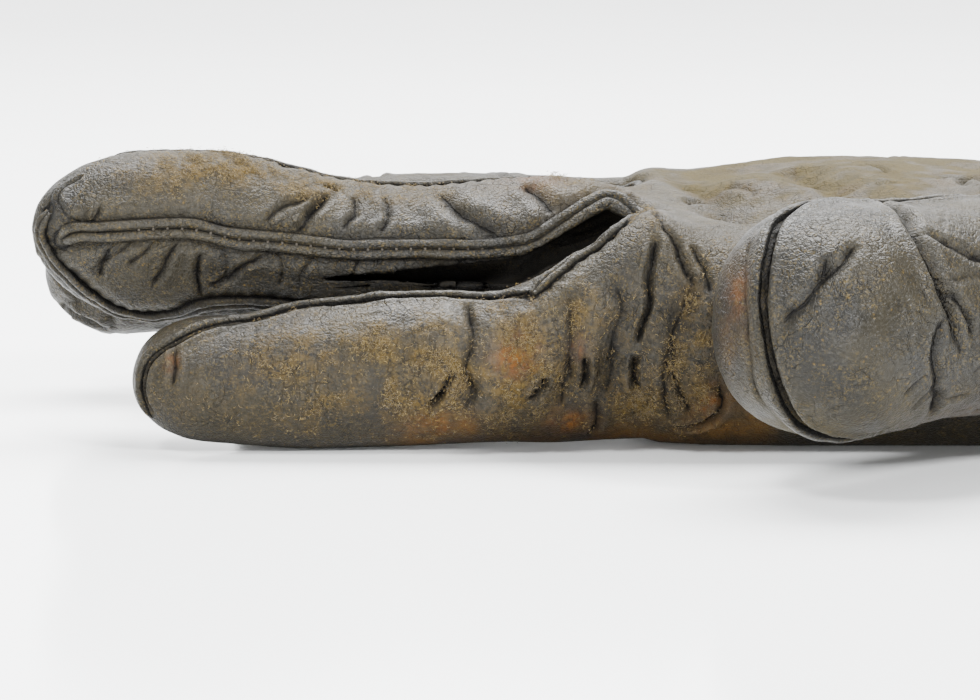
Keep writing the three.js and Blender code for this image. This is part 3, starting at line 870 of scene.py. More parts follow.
def vertex_normals(points, faces):
    corners = [points[faces[:, i]] for i in range(4)]
    flat = np.cross(corners[2] - corners[0], corners[3] - corners[1])
    each, spread = faces.ravel(), np.repeat(flat, 4, axis=0)
    columns = [np.bincount(each, weights=spread[:, i], minlength=len(points)) for i in range(3)]
    return unit(np.stack(columns, axis=1))


# A sheet keeps a thickness of EDGE in the slot, and one thinner than SHOWS_BACK has one material all over.
EDGE, SHOWS_BACK = 0.12, 1.25


def thick_piece(name, part, faces, source, thickness, materials, masks=None):
    """Some faces of a surface as a closed sheet: the face side, the back and the cut edge round it."""
    points, normals = source
    used, local = np.unique(faces, return_inverse=True)
    local = local.reshape(faces.shape)
    n = len(used)
    outer, out = points[used], normals[used]
    thickness = thickness * smoothstep(-1.5, 4.0, slot_distance(*outer.T))[:, None] + EDGE
    ends = np.roll(local, -1, axis=1)
    edges = np.stack([local.ravel(), ends.ravel()], axis=1)
    open_edge = ~np.isin(edges[:, 0] * n + edges[:, 1], edges[:, 1] * n + edges[:, 0])
    a, b = edges[open_edge].T
    rim = np.stack([b, a, a + n, b + n], axis=1)
    every = np.concatenate([local, local[:, ::-1] + n, rim])
    kinds = np.r_[np.zeros(len(local)), np.ones(len(local) + len(rim))]
    kinds[(thickness.ravel() < SHOWS_BACK)[every % n].any(axis=1)] = 0
    doubled = {mask: np.tile(values[used], 2) for mask, values in (masks or {}).items()}
    return make_piece(
        name, part, np.concatenate([outer, outer - out * thickness]), every, materials, doubled,
        np.minimum(kinds, len(materials) - 1), np.concatenate([out, -out]),
    )


def tube_faces(rings, around, closed=False):
    """Faces of a tube of rings of points, with its ends closed unless it joins up with itself."""
    i = np.arange(rings if closed else rings - 1)[:, None]
    j = np.arange(around)[None, :]
    k, m = (i + 1) % rings, (j + 1) % around
    quads = np.stack([i * around + j, i * around + m, k * around + m, k * around + j], axis=-1)
    faces = quads.reshape(-1, 4).tolist()
    if not closed:
        faces.append(list(range(around))[::-1])
        faces.append(list(range((rings - 1) * around, rings * around)))
    return faces


def turned_out(rings, faces):
    """The faces, turned round if they look inwards."""
    middle = rings.mean(axis=1, keepdims=True)
    n = rings.shape[1]
    points = rings.reshape(-1, 3)
    face = faces[len(faces) // 2]
    a, b, c = points[face[0]], points[face[1]], points[face[2]]
    outward = points[face[0]] - middle[face[0] // n][0]
    return faces if np.dot(np.cross(b - a, c - b), outward) > 0 else [f[::-1] for f in faces]


def copies(faces, size, count):
    """The same faces on each of count shapes, whose points follow each other in sets of size."""
    return [[v + size * n for v in face] for n in range(count) for face in faces]


# ---------------------------------------------------------------- welts, stitches, fibres

STEP = 0.35
WELT_PLACES = 15
STITCH_RINGS, STITCH_SIDES = 7, 6
FIBRE_RINGS, FIBRE_SIDES = 5, 3


def lip_heights(t, lips):
    """The top of a welt's section at places t from -1 to 1 across it."""
    place = np.abs(2 * np.abs(t) - 1) if lips == 2 else np.abs(t)
    return 0.22 + 0.78 * np.sqrt(np.clip(1 - place**2.2, 0, 1))


def welt(name, part, route, width, rise, lips=2, shift=0.0, rough=0.1, sink=0.7):
    """A strip of leather sewn along a route, with one or two rounded lips and a cut edge."""
    line, up = settle(resample(route, STEP), 4)
    ahead = unit(np.gradient(line, axis=0))
    aside = unit(np.cross(up, ahead))
    length = np.arange(len(line)) * STEP
    ends = smoothstep(-0.5, 2.2, length) * smoothstep(-0.5, 2.2, length[-1] - length)
    wide = width / 2 * (0.55 + 0.45 * ends) * (1 + 0.12 * noise(line, 4, 11))
    high = rise * (0.15 + 0.85 * ends) * (1 + 0.22 * noise(line, 3, 12))
    drift = shift + 0.18 * noise(line, 6, 13)
    t = np.linspace(-1, 1, WELT_PLACES)
    t = np.concatenate([t, t[::-1][1:-1]])
    top = np.arange(len(t)) < WELT_PLACES
    places = line[:, None] + aside[:, None] * (wide[:, None] * t + drift[:, None])[..., None]
    shape = places.shape
    places, normals = settle(places.reshape(-1, 3), 3)
    height = np.where(top, high[:, None] * lip_heights(t, lips), -sink).ravel()
    over = np.tile(top, shape[0])
    height = height + over * rough * (noise(places, 1.3, 14) + 0.6 * noise(places, 0.6, 15))
    height = height + 0.6 * swell(places)
    rings = (places + normals * height[:, None]).reshape(shape)
    rings[..., 2] = np.maximum(rings[..., 2], 0.05)
    valley = bell(t, 0.13) if lips == 2 else np.zeros(len(t))
    masks = {name: np.zeros(shape[:2]) for name in MASKS}
    # Painted shade: the valley between the lips, the cut edges and the whole underside are darkened, with
    # dark lines along them.
    masks["crease"] = np.maximum(valley, smoothstep(0.8, 1, np.abs(t))) * top + ~top + np.zeros(shape[:2])
    masks["line"] = FAR_LINE - (FAR_LINE - 0.1) * masks["crease"]
    crown = np.abs(2 * np.abs(t) - 1) if lips == 2 else t
    masks["wear"] = 0.55 * bell(crown, 0.45) * top + np.zeros(shape[:2])
    faces = turned_out(rings, tube_faces(shape[0], shape[1]))
    masks = {key: values.ravel() for key, values in masks.items()}
    return make_piece(name, part, rings.reshape(-1, 3), faces, ["leather"], masks)


def stitches(name, part, route, pitch, reach, height, shift=0.0, across=False):
    """A row of thread stitches along a route: each is a small bar with its ends pulled into the leather."""
    line, up = settle(resample(route, 0.25), 4)
    ahead = unit(np.gradient(line, axis=0))
    aside = unit(np.cross(up, ahead))
    each = max(int(round(pitch / 0.25)), 1)
    places = np.arange(each, len(line) - each, each)
    places = places[line[places, 2] > 1.6]
    centre = line[places] + aside[places] * shift
    along = aside[places] if across else ahead[places]
    side = np.cross(up[places], along)
    s = np.linspace(-1, 1, STITCH_RINGS)
    arch = height + 0.28 - 0.75 * np.abs(s) ** 3
    thick = 0.22 * np.sqrt(1 - 0.75 * s**2)
    turn = np.linspace(0, 2 * math.pi, STITCH_SIDES + 1)[:-1]
    over = up[places]
    spine = centre[:, None] + along[:, None] * (s * reach / 2)[:, None] + over[:, None] * arch[:, None]
    ring = side[:, None, None] * np.cos(turn)[:, None] + over[:, None, None] * np.sin(turn)[:, None]
    rings = spine[:, :, None] + ring * thick[None, :, None, None]
    single = turned_out(rings[0], tube_faces(STITCH_RINGS, STITCH_SIDES))
    faces = copies(single, STITCH_RINGS * STITCH_SIDES, len(places))
    piece = make_piece(name, part, rings.reshape(-1, 3), faces, ["thread"])
    return piece


def fibres(name, part, count, seed, chosen, weight, loft=0.35):
    """Curled fibres rubbed up from worn leather, rooted at the chosen points of the skin."""
    rng = np.random.default_rng(seed)
    roots = rng.choice(chosen, count, p=weight / weight.sum())
    place, up = surface[roots] + rng.normal(size=(count, 3)) * 0.25, outward[roots]
    first = unit(np.cross(up, rng.normal(size=(count, 3))))
    second = np.cross(up, first)
    step, curl = rng.uniform(0.06, 0.24, count), rng.normal(size=count) * 1.2
    lift, turn = rng.uniform(0.1, 1.0, count) * loft, rng.uniform(0, 2 * math.pi, count)
    radius = rng.uniform(0.022, 0.042, count)
    rows, headings = [], []
    for k in range(FIBRE_RINGS):
        heading = np.cos(turn)[:, None] * first + np.sin(turn)[:, None] * second
        rows.append(place + up * (lift * math.sin(math.pi * (0.12 + 0.76 * k / 4)))[:, None])
        headings.append(heading)
        place = place + heading * step[:, None]
        turn = turn + curl
    spine, heading = np.stack(rows, axis=1), np.stack(headings, axis=1)
    side = unit(np.cross(heading, up[:, None]))
    over = np.cross(side, heading)
    thin = radius[:, None] * np.array([0.5, 1, 1, 0.8, 0.4])
    rings = []
    for angle in np.linspace(0, 2 * math.pi, FIBRE_SIDES + 1)[:-1]:
        rings.append(spine + (side * math.cos(angle) + over * math.sin(angle)) * thin[..., None])
    rings = np.stack(rings, axis=2)
    single = turned_out(rings[0], tube_faces(FIBRE_RINGS, FIBRE_SIDES))
    points_each = FIBRE_RINGS * FIBRE_SIDES
    faces = copies(single, points_each, count)
    tint = np.repeat(rng.random(count), points_each)
    piece = make_piece(name, part, rings.reshape(-1, 3), faces, ["fibre"], {"tint": tint})
    return piece


# ---------------------------------------------------------------- materials

SLATE, SMOKE, OLIVE = (0.0078, 0.0075, 0.0066), (0.0037, 0.0035, 0.0031), (0.0115, 0.0098, 0.0061)
OCHRE, RUST, TAN = (0.070, 0.044, 0.010), (0.085, 0.029, 0.003), (0.060, 0.029, 0.006)
# CREVICE is the near-black of the painted shade in creases, cracks and the slot, partly dirt.
CREVICE, HAZE, DUST = (0.0014, 0.0012, 0.0010), (0.034, 0.032, 0.027), (0.042, 0.034, 0.016)
POWDER = (0.058, 0.042, 0.014)


class Graph:
    """Short words for building one material's node graph."""

    def __init__(self, name, roughness=0.6, specular=0.5):
        self.material = bpy.data.materials.new(name)
        self.material.use_nodes = True
        self.tree = self.material.node_tree
        self.shader = self.tree.nodes["Principled BSDF"]
        self.shader.inputs["Roughness"].default_value = roughness
        self.shader.inputs["Specular IOR Level"].default_value = specular

    def set(self, socket, value):
        if isinstance(value, bpy.types.NodeSocket):
            self.tree.links.new(value, socket)
        elif isinstance(value, tuple) and socket.type == "RGBA":
            socket.default_value = (*value, 1.0)
        else:
            socket.default_value = value

    def attribute(self, name, output="Fac"):
        node = self.tree.nodes.new("ShaderNodeAttribute")
        node.attribute_name = name
        return node.outputs[output]

    def math(self, operation, a, b=0.0):
        node = self.tree.nodes.new("ShaderNodeMath")
        node.operation = operation
        self.set(node.inputs[0], a)
        self.set(node.inputs[1], b)
        return node.outputs[0]

    def mix(self, share, a, b):
        node = self.tree.nodes.new("ShaderNodeMix")
        node.data_type = "RGBA"
        self.set(node.inputs[0], share)
        self.set(node.inputs[6], a)
        self.set(node.inputs[7], b)
        return node.outputs[2]

    def ramp(self, value, low, high, start=0.0, end=1.0):
        node = self.tree.nodes.new("ShaderNodeMapRange")
        node.interpolation_type = "SMOOTHSTEP"
        for socket, number in zip(node.inputs, (value, low, high, start, end)):
            self.set(socket, number)
        return node.outputs[0]

    def noise(self, place, size, detail=3.0, distortion=0.0):
        """Noise from 0 to 1 with features about size millimetres across."""
        node = self.tree.nodes.new("ShaderNodeTexNoise")
        self.set(node.inputs["Vector"], place)
        node.inputs["Scale"].default_value = 1 / size
        node.inputs["Detail"].default_value = detail
        node.inputs["Distortion"].default_value = distortion
        return node.outputs[0]

    def cells(self, place, size, feature="F1"):
        node = self.tree.nodes.new("ShaderNodeTexVoronoi")
        node.feature = feature
        self.set(node.inputs["Vector"], place)
        node.inputs["Scale"].default_value = 1 / size
        return node.outputs["Distance"]

    def bent(self, place, size, amount):
        """The place pushed about by noise, so that patterns on it don't look regular."""
        node = self.tree.nodes.new("ShaderNodeTexNoise")
        self.set(node.inputs["Vector"], place)
        node.inputs["Scale"].default_value = 1 / size
        scale = self.tree.nodes.new("ShaderNodeVectorMath")
        scale.operation = "MULTIPLY_ADD"
        self.set(scale.inputs[0], node.outputs["Color"])
        scale.inputs[1].default_value = (amount, amount, amount)
        self.set(scale.inputs[2], place)
        return scale.outputs[0]

    def stretched(self, place, factors):
        node = self.tree.nodes.new("ShaderNodeVectorMath")
        node.operation = "MULTIPLY"
        self.set(node.inputs[0], place)
        node.inputs[1].default_value = factors
        return node.outputs[0]

    def colour(self, value):
        self.set(self.shader.inputs["Base Color"], value)

    def rough(self, value):
        self.set(self.shader.inputs["Roughness"], value)

    def bump(self, height):
        """The height is in millimetres."""
        node = self.tree.nodes.new("ShaderNodeBump")
        node.inputs["Strength"].default_value = 1.0
        node.inputs["Distance"].default_value = MM
        self.set(node.inputs["Height"], height)
        self.set(self.shader.inputs["Normal"], node.outputs[0])

    def total(self, *terms):
        """The sum of (amount, value) terms."""
        whole = 0.0
        for amount, value in terms:
            whole = self.math("ADD", self.math("MULTIPLY", value, amount), whole)
        return whole


def leather_patterns(g):
    """The masks of the leather and the noises laid over it, by name."""
    m = SimpleNamespace(**{name: g.attribute(name) for name in MASKS})
    m.place = g.attribute("rest", "Vector")
    m.bent = g.bent(m.place, 3.0, 1.6)
    m.blotch, m.patch = g.noise(m.place, 13, 3), g.noise(m.place, 3.5, 4, 0.4)
    m.speck, m.dust = g.noise(m.place, 0.55, 3), g.noise(m.place, 1.1, 4, 0.6)
    crazed = g.ramp(g.cells(m.bent, 2.1, "DISTANCE_TO_EDGE"), 0.0, 0.05, 1.0, 0.0)
    m.craze = g.math("MULTIPLY", crazed, g.ramp(g.noise(m.place, 7, 2), 0.42, 0.62))
    fine = g.cells(g.bent(m.place, 1.2, 0.5), 0.75, "DISTANCE_TO_EDGE")
    m.fine = g.ramp(fine, 0.02, 0.16, 1.0, 0.0)
    m.grain = g.cells(m.bent, 0.5)
    # Crack lines: partly real cracks, partly painted shade along the bottoms of folds and the edges of
    # welts.
    offset = g.math("ADD", g.attribute("line"), g.ramp(m.speck, 0.3, 0.7, -0.08, 0.08))
    crack = g.ramp(g.math("ABSOLUTE", offset), 0.04, 0.26, 1.0, 0.0)
    m.crack = g.math("MULTIPLY", crack, g.ramp(m.crease, 0.12, 0.95))
    return m


def leather_hide(g, m):
    """The colour of the bare hide, with tan, dusty and worn places."""
    colour = g.mix(g.ramp(m.blotch, 0.4, 0.62), SLATE, OLIVE)
    colour = g.mix(g.ramp(m.patch, 0.45, 0.75, 0.0, 0.65), colour, SMOKE)
    colour = g.mix(g.ramp(m.speck, 0.5, 0.75, 0.0, 0.35), colour, HAZE)
    colour = g.mix(g.math("MULTIPLY", m.tan, g.ramp(m.patch, 0.3, 0.62, 0.35, 1.0)), colour, TAN)
    colour = g.mix(g.math("MULTIPLY", m.dusty, g.ramp(m.patch, 0.3, 0.6, 0.72, 0.95)), colour, DUST)
    return g.mix(g.math("MULTIPLY", m.wear, g.ramp(m.dust, 0.35, 0.6, 0.1, 0.7)), colour, HAZE)


def leather_dirt_and_shade(g, m, colour):
    """The hide with ochre where it is rubbed, rust stains, powder, and dark cracks and creases that are
    partly dirt and partly painted shade.
    """
    rubbed = g.math("MULTIPLY", m.nap, g.ramp(m.dust, 0.38, 0.58))
    colour = g.mix(g.math("MULTIPLY", rubbed, 0.75), colour, OCHRE)
    colour = g.mix(g.math("MULTIPLY", g.math("MULTIPLY", m.fine, m.nap), 0.55), colour, OCHRE)
    broken = g.ramp(g.noise(m.place, 1.4, 4, 0.8), 0.3, 0.55, 0.25, 1.0)
    colour = g.mix(g.math("MULTIPLY", m.stain, broken), colour, RUST)
    powder = g.ramp(g.noise(m.place, 0.42, 5, 1.2), 0.5, 0.68)
    powder = g.math("MULTIPLY", powder, g.ramp(m.patch, 0.34, 0.62, 0.15, 0.9))
    powder = g.math("MULTIPLY", powder, g.ramp(m.polish, 0.2, 1.0, 0.75, 0.15))
    colour = g.mix(powder, colour, POWDER)
    sprinkle = g.ramp(g.cells(g.bent(m.place, 2.0, 1.0), 1.25), 0.1, 0.17, 1.0, 0.0)
    sprinkle = g.math("MULTIPLY", sprinkle, g.ramp(g.noise(m.place, 5, 2), 0.45, 0.65))
    colour = g.mix(g.math("MULTIPLY", sprinkle, 0.7), colour, OCHRE)
    colour = g.mix(g.math("MULTIPLY", m.craze, 0.3), colour, SMOKE)
    # Painted shade, partly dirt: creases, the slot, the wrist's gathers and the welts are darkened towards
    # CREVICE, and the crack lines are painted near black.
    colour = g.mix(g.ramp(m.crease, 0.2, 1.0, 0.0, 0.72), colour, CREVICE)
    return g.mix(g.math("MULTIPLY", m.crack, 0.95), colour, CREVICE)


def leather_bump(g, m):
    """The fine relief of the leather in millimetres, flatter where it is polished."""
    wrinkle = g.noise(g.stretched(m.bent, (1.0, 0.45, 0.45)), 1.0, 3, 0.5)
    coarse = g.total(
        (0.10, m.grain), (0.12, m.speck), (0.2, m.patch), (-0.12, m.craze), (-0.06, m.fine), (0.2, wrinkle),
    )
    coarse = g.math("MULTIPLY", coarse, g.ramp(m.polish, 0.0, 1.0, 1.0, 0.3))
    fuzz, fluff = g.math("MULTIPLY", m.nap, m.dust), g.math("MULTIPLY", m.nap, m.speck)
    return g.total((1.0, coarse), (-0.35, m.crack), (0.5, fuzz), (0.35, fluff))


def leather_material():
    g = Graph("old_leather", 0.5, 0.11)
    m = leather_patterns(g)
    g.colour(leather_dirt_and_shade(g, m, leather_hide(g, m)))
    dull = g.total(
        (0.25, m.blotch), (0.22, m.speck), (0.4, m.nap), (0.35, m.crease), (-0.14, m.wear), (0.25, m.tan),
        (0.5, m.dusty), (-0.2, m.polish),
    )
    g.rough(g.math("ADD", dull, 0.2))
    g.bump(leather_bump(g, m))
    return g.material


def suede_material():
    g = Graph("flesh_side", 0.92, 0.2)
    place = g.attribute("rest", "Vector")
    cloud, nap = g.noise(place, 6, 3), g.noise(place, 0.5, 4)
    g.colour(g.mix(g.ramp(cloud, 0.35, 0.7), (0.085, 0.062, 0.038), (0.15, 0.115, 0.07)))
    g.bump(g.total((0.5, nap), (0.3, cloud)))
    return g.material


def knit_material(name, light, dark, size):
    """A plain knit: rows of small loops, lighter on their crowns and darker between them as painted
    highlight and shade.
    """
    g = Graph(name, 0.9, 0.25)
    place = g.bent(g.attribute("rest", "Vector"), 6.0, 0.5)
    loops = g.cells(g.stretched(place, (1.0, 1.6, 1.6)), size, "SMOOTH_F1")
    yarn = g.noise(place, 0.3, 3)
    g.colour(g.mix(g.ramp(loops, 0.1, 0.6), light, dark))
    g.bump(g.total((-0.8, loops), (0.25, yarn)))
    return g.material


def thread_material():
    g = Graph("waxed_thread", 0.7, 0.35)
    place = g.attribute("rest", "Vector")
    g.colour(g.mix(g.noise(place, 0.8, 2), (0.012, 0.010, 0.008), (0.04, 0.032, 0.02)))
    g.bump(g.total((0.2, g.noise(place, 0.2, 2))))
    return g.material


def fibre_material():
    g = Graph("raised_fibre", 0.85, 0.1)
    tint = g.attribute("tint")
    pale = g.mix(g.ramp(tint, 0.0, 0.6), (0.022, 0.014, 0.004), (0.085, 0.055, 0.013))
    g.colour(g.mix(g.ramp(tint, 0.6, 1.0), pale, (0.17, 0.12, 0.038)))
    g.shader.inputs["Sheen Weight"].default_value = 0.15
    return g.material


def floor_material():
    g = Graph("white_table", 0.1, 0.5)
    geometry = g.tree.nodes.new("ShaderNodeNewGeometry")
    cloud = g.noise(geometry.outputs["Position"], 0.4, 3)
    g.colour(g.mix(cloud, (0.80, 0.815, 0.82), (0.86, 0.87, 0.87)))
    g.rough(g.ramp(cloud, 0.3, 0.7, 0.12, 0.17))
    return g.material


MATERIALS["leather"] = leather_material()
MATERIALS["suede"] = suede_material()
MATERIALS["knit"] = knit_material("knitted_liner", (0.24, 0.225, 0.19), (0.09, 0.085, 0.07), 0.9)
MATERIALS["elastic"] = knit_material("elastic_web", (0.11, 0.105, 0.09), (0.03, 0.03, 0.026), 0.6)
MATERIALS["thread"] = thread_material()
MATERIALS["fibre"] = fibre_material()


# ---------------------------------------------------------------- the skin

FINE, COARSE = ((0.55, 0.9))
grid = [
    axis_steps((-97, 62, FINE), (62, CUFF_END, COARSE)),
    axis_steps((-70, 30, FINE), (30, 102, COARSE)),
    axis_steps((-3, 52, FINE)),
]
on_grid = leather_field(grid[0][:, None, None], grid[1][None, :, None], grid[2][None, None, :])
skin_points, skin_faces = surface_net(on_grid, grid)
skin_points, skin_normals = settle(skin_points)
if (vertex_normals(skin_points, skin_faces) * skin_normals).sum() < 0:
    skin_faces = skin_faces[:, ::-1]

skin = Relief(skin_points, skin_normals)
add_wrist(skin)
add_seams(skin)
add_creases(skin)
skin.spots("nap", NAP_SPOTS)
skin.spots("stain", STAIN_SPOTS, 1.6)
skin.spots("tan", TAN_SPOTS, 5)
skin.spots("dusty", DUSTY_SPOTS, 7)
skin.spots("polish", POLISH_SPOTS, 7)
skin.spots("crease", GRIME_AND_SHADE_SPOTS, 3)
add_grain(skin)
DEEPEST = 2.3
surface = skin_points + skin_normals * np.maximum(skin.lift, -DEEPEST)[:, None]
surface[:, 2] = np.maximum(surface[:, 2], 0.04)
outward = vertex_normals(surface, skin_faces)

# ---------------------------------------------------------------- leather pieces

LEATHER = 1.2
WEB_X, CUFF_START = 3.0, 108.0
INDEX_TOP = ([10, 25, 45, 56, 66, 72], [0, 13, 19, 2, -15, -60])
PANELS = {
    "index": {"back": (-118, None), "fourchette": (None, 112)},
    "middle": {"back": (-60, 42), "near_fourchette": (-134, -60), "far_fourchette": (42, 130)},
    "ring": {"back": (-20, 66), "near_fourchette": (-112, -20), "far_fourchette": (66, 158)},
    "little": {"back": (-22, 152), "fourchette": (-108, -22)},
}
HAND_EDGES, THUMB_EDGES = (-122, 96), (-176, 4)


def part_of(points):
    """The name of the part each point belongs to."""
    x, y, z = points.T
    fingers = list(FINGERS)
    closest = np.argmin([FINGERS[name].distance(x, y, z) for name in fingers], axis=0)
    names = np.array(fingers)[closest]
    thumb = thumb_distance(x, y, z) < HAND.distance(x, y, z)
    return np.where(x < WEB_X, names, np.where(thumb, "thumb", "hand"))


def panel_of(points, parts):
    """The name of the sewn panel each point belongs to."""
    panels = np.full(len(points), "", dtype="<U32")
    for name, tube in FINGERS.items():
        mine = parts == name
        angle = tube.angle(points[mine])
        top = np.interp(-points[mine][:, 0], *INDEX_TOP)
        named = np.full(mine.sum(), name + "_palm", dtype="<U32")
        for panel, (low, high) in PANELS[name].items():
            low = top if low is None else low
            high = top if high is None else high
            named[(angle > low) & (angle <= high)] = name + "_" + panel
        panels[mine] = named
    mine = parts == "thumb"
    angle = THUMB.angle(points[mine])
    outer = (angle > THUMB_EDGES[0]) & (angle <= THUMB_EDGES[1])
    panels[mine] = np.where(outer, "thumb_outer", "thumb_inner")
    mine = parts == "hand"
    angle = HAND.angle(points[mine])
    over = (angle > HAND_EDGES[0]) & (angle <= HAND_EDGES[1])
    stretch = np.where(points[mine][:, 0] < CUFF_START, "hand_", "cuff_")
    panels[mine] = np.char.add(stretch, np.where(over, "back", "palm"))
    return panels


def make_panels():
    centres = skin_points[skin_faces].mean(axis=1)
    parts = part_of(centres)
    panels = panel_of(centres, parts)
    for panel in sorted(set(panels)):
        mine = panels == panel
        part = parts[mine][0]
        piece = thick_piece(
            panel + "_leather", part, skin_faces[mine], (surface, outward), LEATHER,
            ["leather", "suede"], skin.masks,
        )
        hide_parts(panel)
        if panel in ("index_back", "middle_back", "ring_back", "little_back"):
            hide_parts(part + "_knuckle_fold")
        if panel == "thumb_outer":
            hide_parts("thumb_fold")


# Each welt's name, part, route, width, rise, lips, shift aside, and the nodes it takes the place of.
WELTS = [
    ("middle_near_welt", "middle", MIDDLE_SEAM, 3.3, 1.0, 2, 0, ["middle_near_welt"]),
    ("middle_lower_welt", "middle", MIDDLE_LOWER_SEAM, 2.6, 0.9, 2, 0, []),
    ("middle_far_welt", "middle", MIDDLE_FAR_SEAM, 2.8, 0.9, 2, 0, ["middle_far_welt"]),
    ("ring_near_welt", "ring", RING_NEAR_SEAM, 2.8, 0.9, 2, 0, ["ring_near_welt", "middle_ring_web_welt"]),
    ("ring_far_welt", "ring", RING_FAR_SEAM, 2.8, 0.9, 2, 0, ["ring_far_welt", "ring_little_web_welt"]),
    ("little_welt", "little", LITTLE_NEAR_SEAM, 2.8, 0.9, 2, 0, ["little_welt"]),
    ("index_web_welt", "index", INDEX_WEB, 2.6, 1.0, 2, 0, ["index_middle_web_welt"]),
    ("index_welt", "index", INDEX_SEAM, 1.7, 0.75, 1, 1.25, ["index_welt"]),
    ("thumb_welt", "thumb", THUMB_SEAM, 1.9, 0.6, 1, -1.5, ["thumb_welt"]),
    ("hand_near_seam", "hand", HAND_NEAR_SEAM, 2.4, 0.8, 1, 0, []),
    ("hand_far_seam", "hand", HAND_FAR_SEAM, 2.4, 0.8, 1, 0, []),
]

# Stitches over the fingers' welts: name, part, route, length and height of each stitch.
WELT_STITCHES = [
    ("middle_near_stitches", "middle", MIDDLE_SEAM[3:10], 1.0, 0.12),
    ("middle_lower_stitches", "middle", MIDDLE_LOWER_SEAM[1:8], 0.9, 0.1),
    ("middle_far_stitches", "middle", MIDDLE_FAR_SEAM, 1.0, 0.12),
    ("ring_near_stitches", "ring", RING_NEAR_SEAM, 1.0, 0.12),
    ("ring_far_stitches", "ring", RING_FAR_SEAM, 1.0, 0.12),
    ("little_near_stitches", "little", LITTLE_NEAR_SEAM, 1.0, 0.12),
]


def make_welts():
    for name, part, route, width, rise, lips, shift, nodes in WELTS:
        piece = welt(name + "_strip", part, route, width, rise, lips, shift)
        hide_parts(*nodes)


def make_stitches():
    for name, part, route, reach, height in WELT_STITCHES:
        stitches(name, part, route, 2.3, reach, height, across=True)
    for name, route in (("hand_near_stitches", HAND_NEAR_SEAM), ("hand_far_stitches", HAND_FAR_SEAM)):
        stitches(name, "hand", route, 3.0, 2.2, 0.3, shift=2.2)
    for name, x in zip(("wrist_stitches_upper", "wrist_stitches_lower"), WRIST_ROWS):
        row = [tuple(p) for p in HAND.point(-float(x), np.linspace(-62, 62, 9))]
        stitches(name, "hand", row, 2.8, 2.0, -0.9)


# ---------------------------------------------------------------- inside and cuff

LINER_DEPTH, LINER_THICK, LINER_END = 3.8, 0.8, 107.0


def make_liner():
    axes = [axis[::2] for axis in grid]
    points, faces = surface_net(on_grid[::2, ::2, ::2] + LINER_DEPTH, axes)
    points, normals = settle(points, 2, LINER_DEPTH)
    if (vertex_normals(points, faces) * normals).sum() < 0:
        faces = faces[:, ::-1]
    centres = points[faces].mean(axis=1)
    faces, centres = faces[centres[:, 0] < LINER_END], centres[centres[:, 0] < LINER_END]
    parts = part_of(centres)
    for part in sorted(set(parts)):
        chosen = faces[parts == part]
        piece = thick_piece(part + "_liner_knit", part, chosen, (points, normals), LINER_THICK, ["knit"])
        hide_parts(part + "_liner")


def loop_round(x, count):
    """Evenly spaced points round the cuff at one place along it, with their outward directions."""
    line = settle(HAND.point(-x, np.linspace(-180, 180, 500)), 4)[0]
    lengths = np.concatenate([[0], np.cumsum(np.linalg.norm(np.diff(line, axis=0), axis=1))])
    at = np.linspace(0, lengths[-1], count + 1)[:-1]
    loop = np.stack([np.interp(at, lengths, line[:, i]) for i in range(3)], axis=1)
    loop[:, 0] = x
    return settle(loop, 1)


BINDING_COUNT = 420
BINDING_SIDES = 24
BINDING_HALF_WIDTH, BINDING_HALF_HEIGHT = 3.6, 1.75


def make_binding():
    """A strip of leather folded over the cuff's edge."""
    loop, out = loop_round(CUFF_END - 2.0, BINDING_COUNT)
    turn = np.linspace(0, 2 * math.pi, BINDING_SIDES + 1)[:-1]
    high = BINDING_HALF_HEIGHT * np.sign(np.cos(turn)) * np.abs(np.cos(turn)) ** 0.7 - LEATHER / 2
    along = BINDING_HALF_WIDTH * np.sign(np.sin(turn)) * np.abs(np.sin(turn)) ** 0.8
    rings = loop[:, None] + out[:, None] * high[:, None]
    rings[..., 0] += along * (1 + 0.08 * noise(loop, 7, 16))[:, None]
    flat = rings.reshape(-1, 3)
    rough = 0.14 * noise(flat, 2.2, 17) + 0.07 * noise(flat, 0.9, 18)
    rings += out[:, None] * (rough.reshape(rings.shape[:2]) + 0.6 * swell(loop)[:, None])[..., None]
    rings[..., 2] = np.maximum(rings[..., 2], 0.04)
    faces = turned_out(rings, tube_faces(BINDING_COUNT, BINDING_SIDES, closed=True))
    masks = {name: np.zeros(len(flat)) for name in MASKS}
    masks["wear"] = np.tile(0.7 * bell(along - BINDING_HALF_WIDTH, 1.2), BINDING_COUNT)
    # Painted shade along the edge where the binding meets the cuff.
    masks["crease"] = np.tile(bell(along + BINDING_HALF_WIDTH, 0.7), BINDING_COUNT)
    masks["tan"] = np.full(len(flat), 0.35)
    masks["line"] = np.full(len(flat), FAR_LINE)
    piece = make_piece("cuff_binding_hem", "hand", rings.reshape(-1, 3), faces, ["leather"], masks)
    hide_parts("cuff_binding")
    row = [tuple(p) for p in loop_round(CUFF_END - 4.4, 90)[0]]
    stitches("cuff_binding_stitches", "hand", row + row[:1], 3.0, 2.1, 1.05)


# The elastic's depth in the glove, below the deepest gather of the leather over it, and its grid of points.
ELASTIC_DEPTH = 3.9
ELASTIC_ROWS, ELASTIC_AROUND = 22, 120


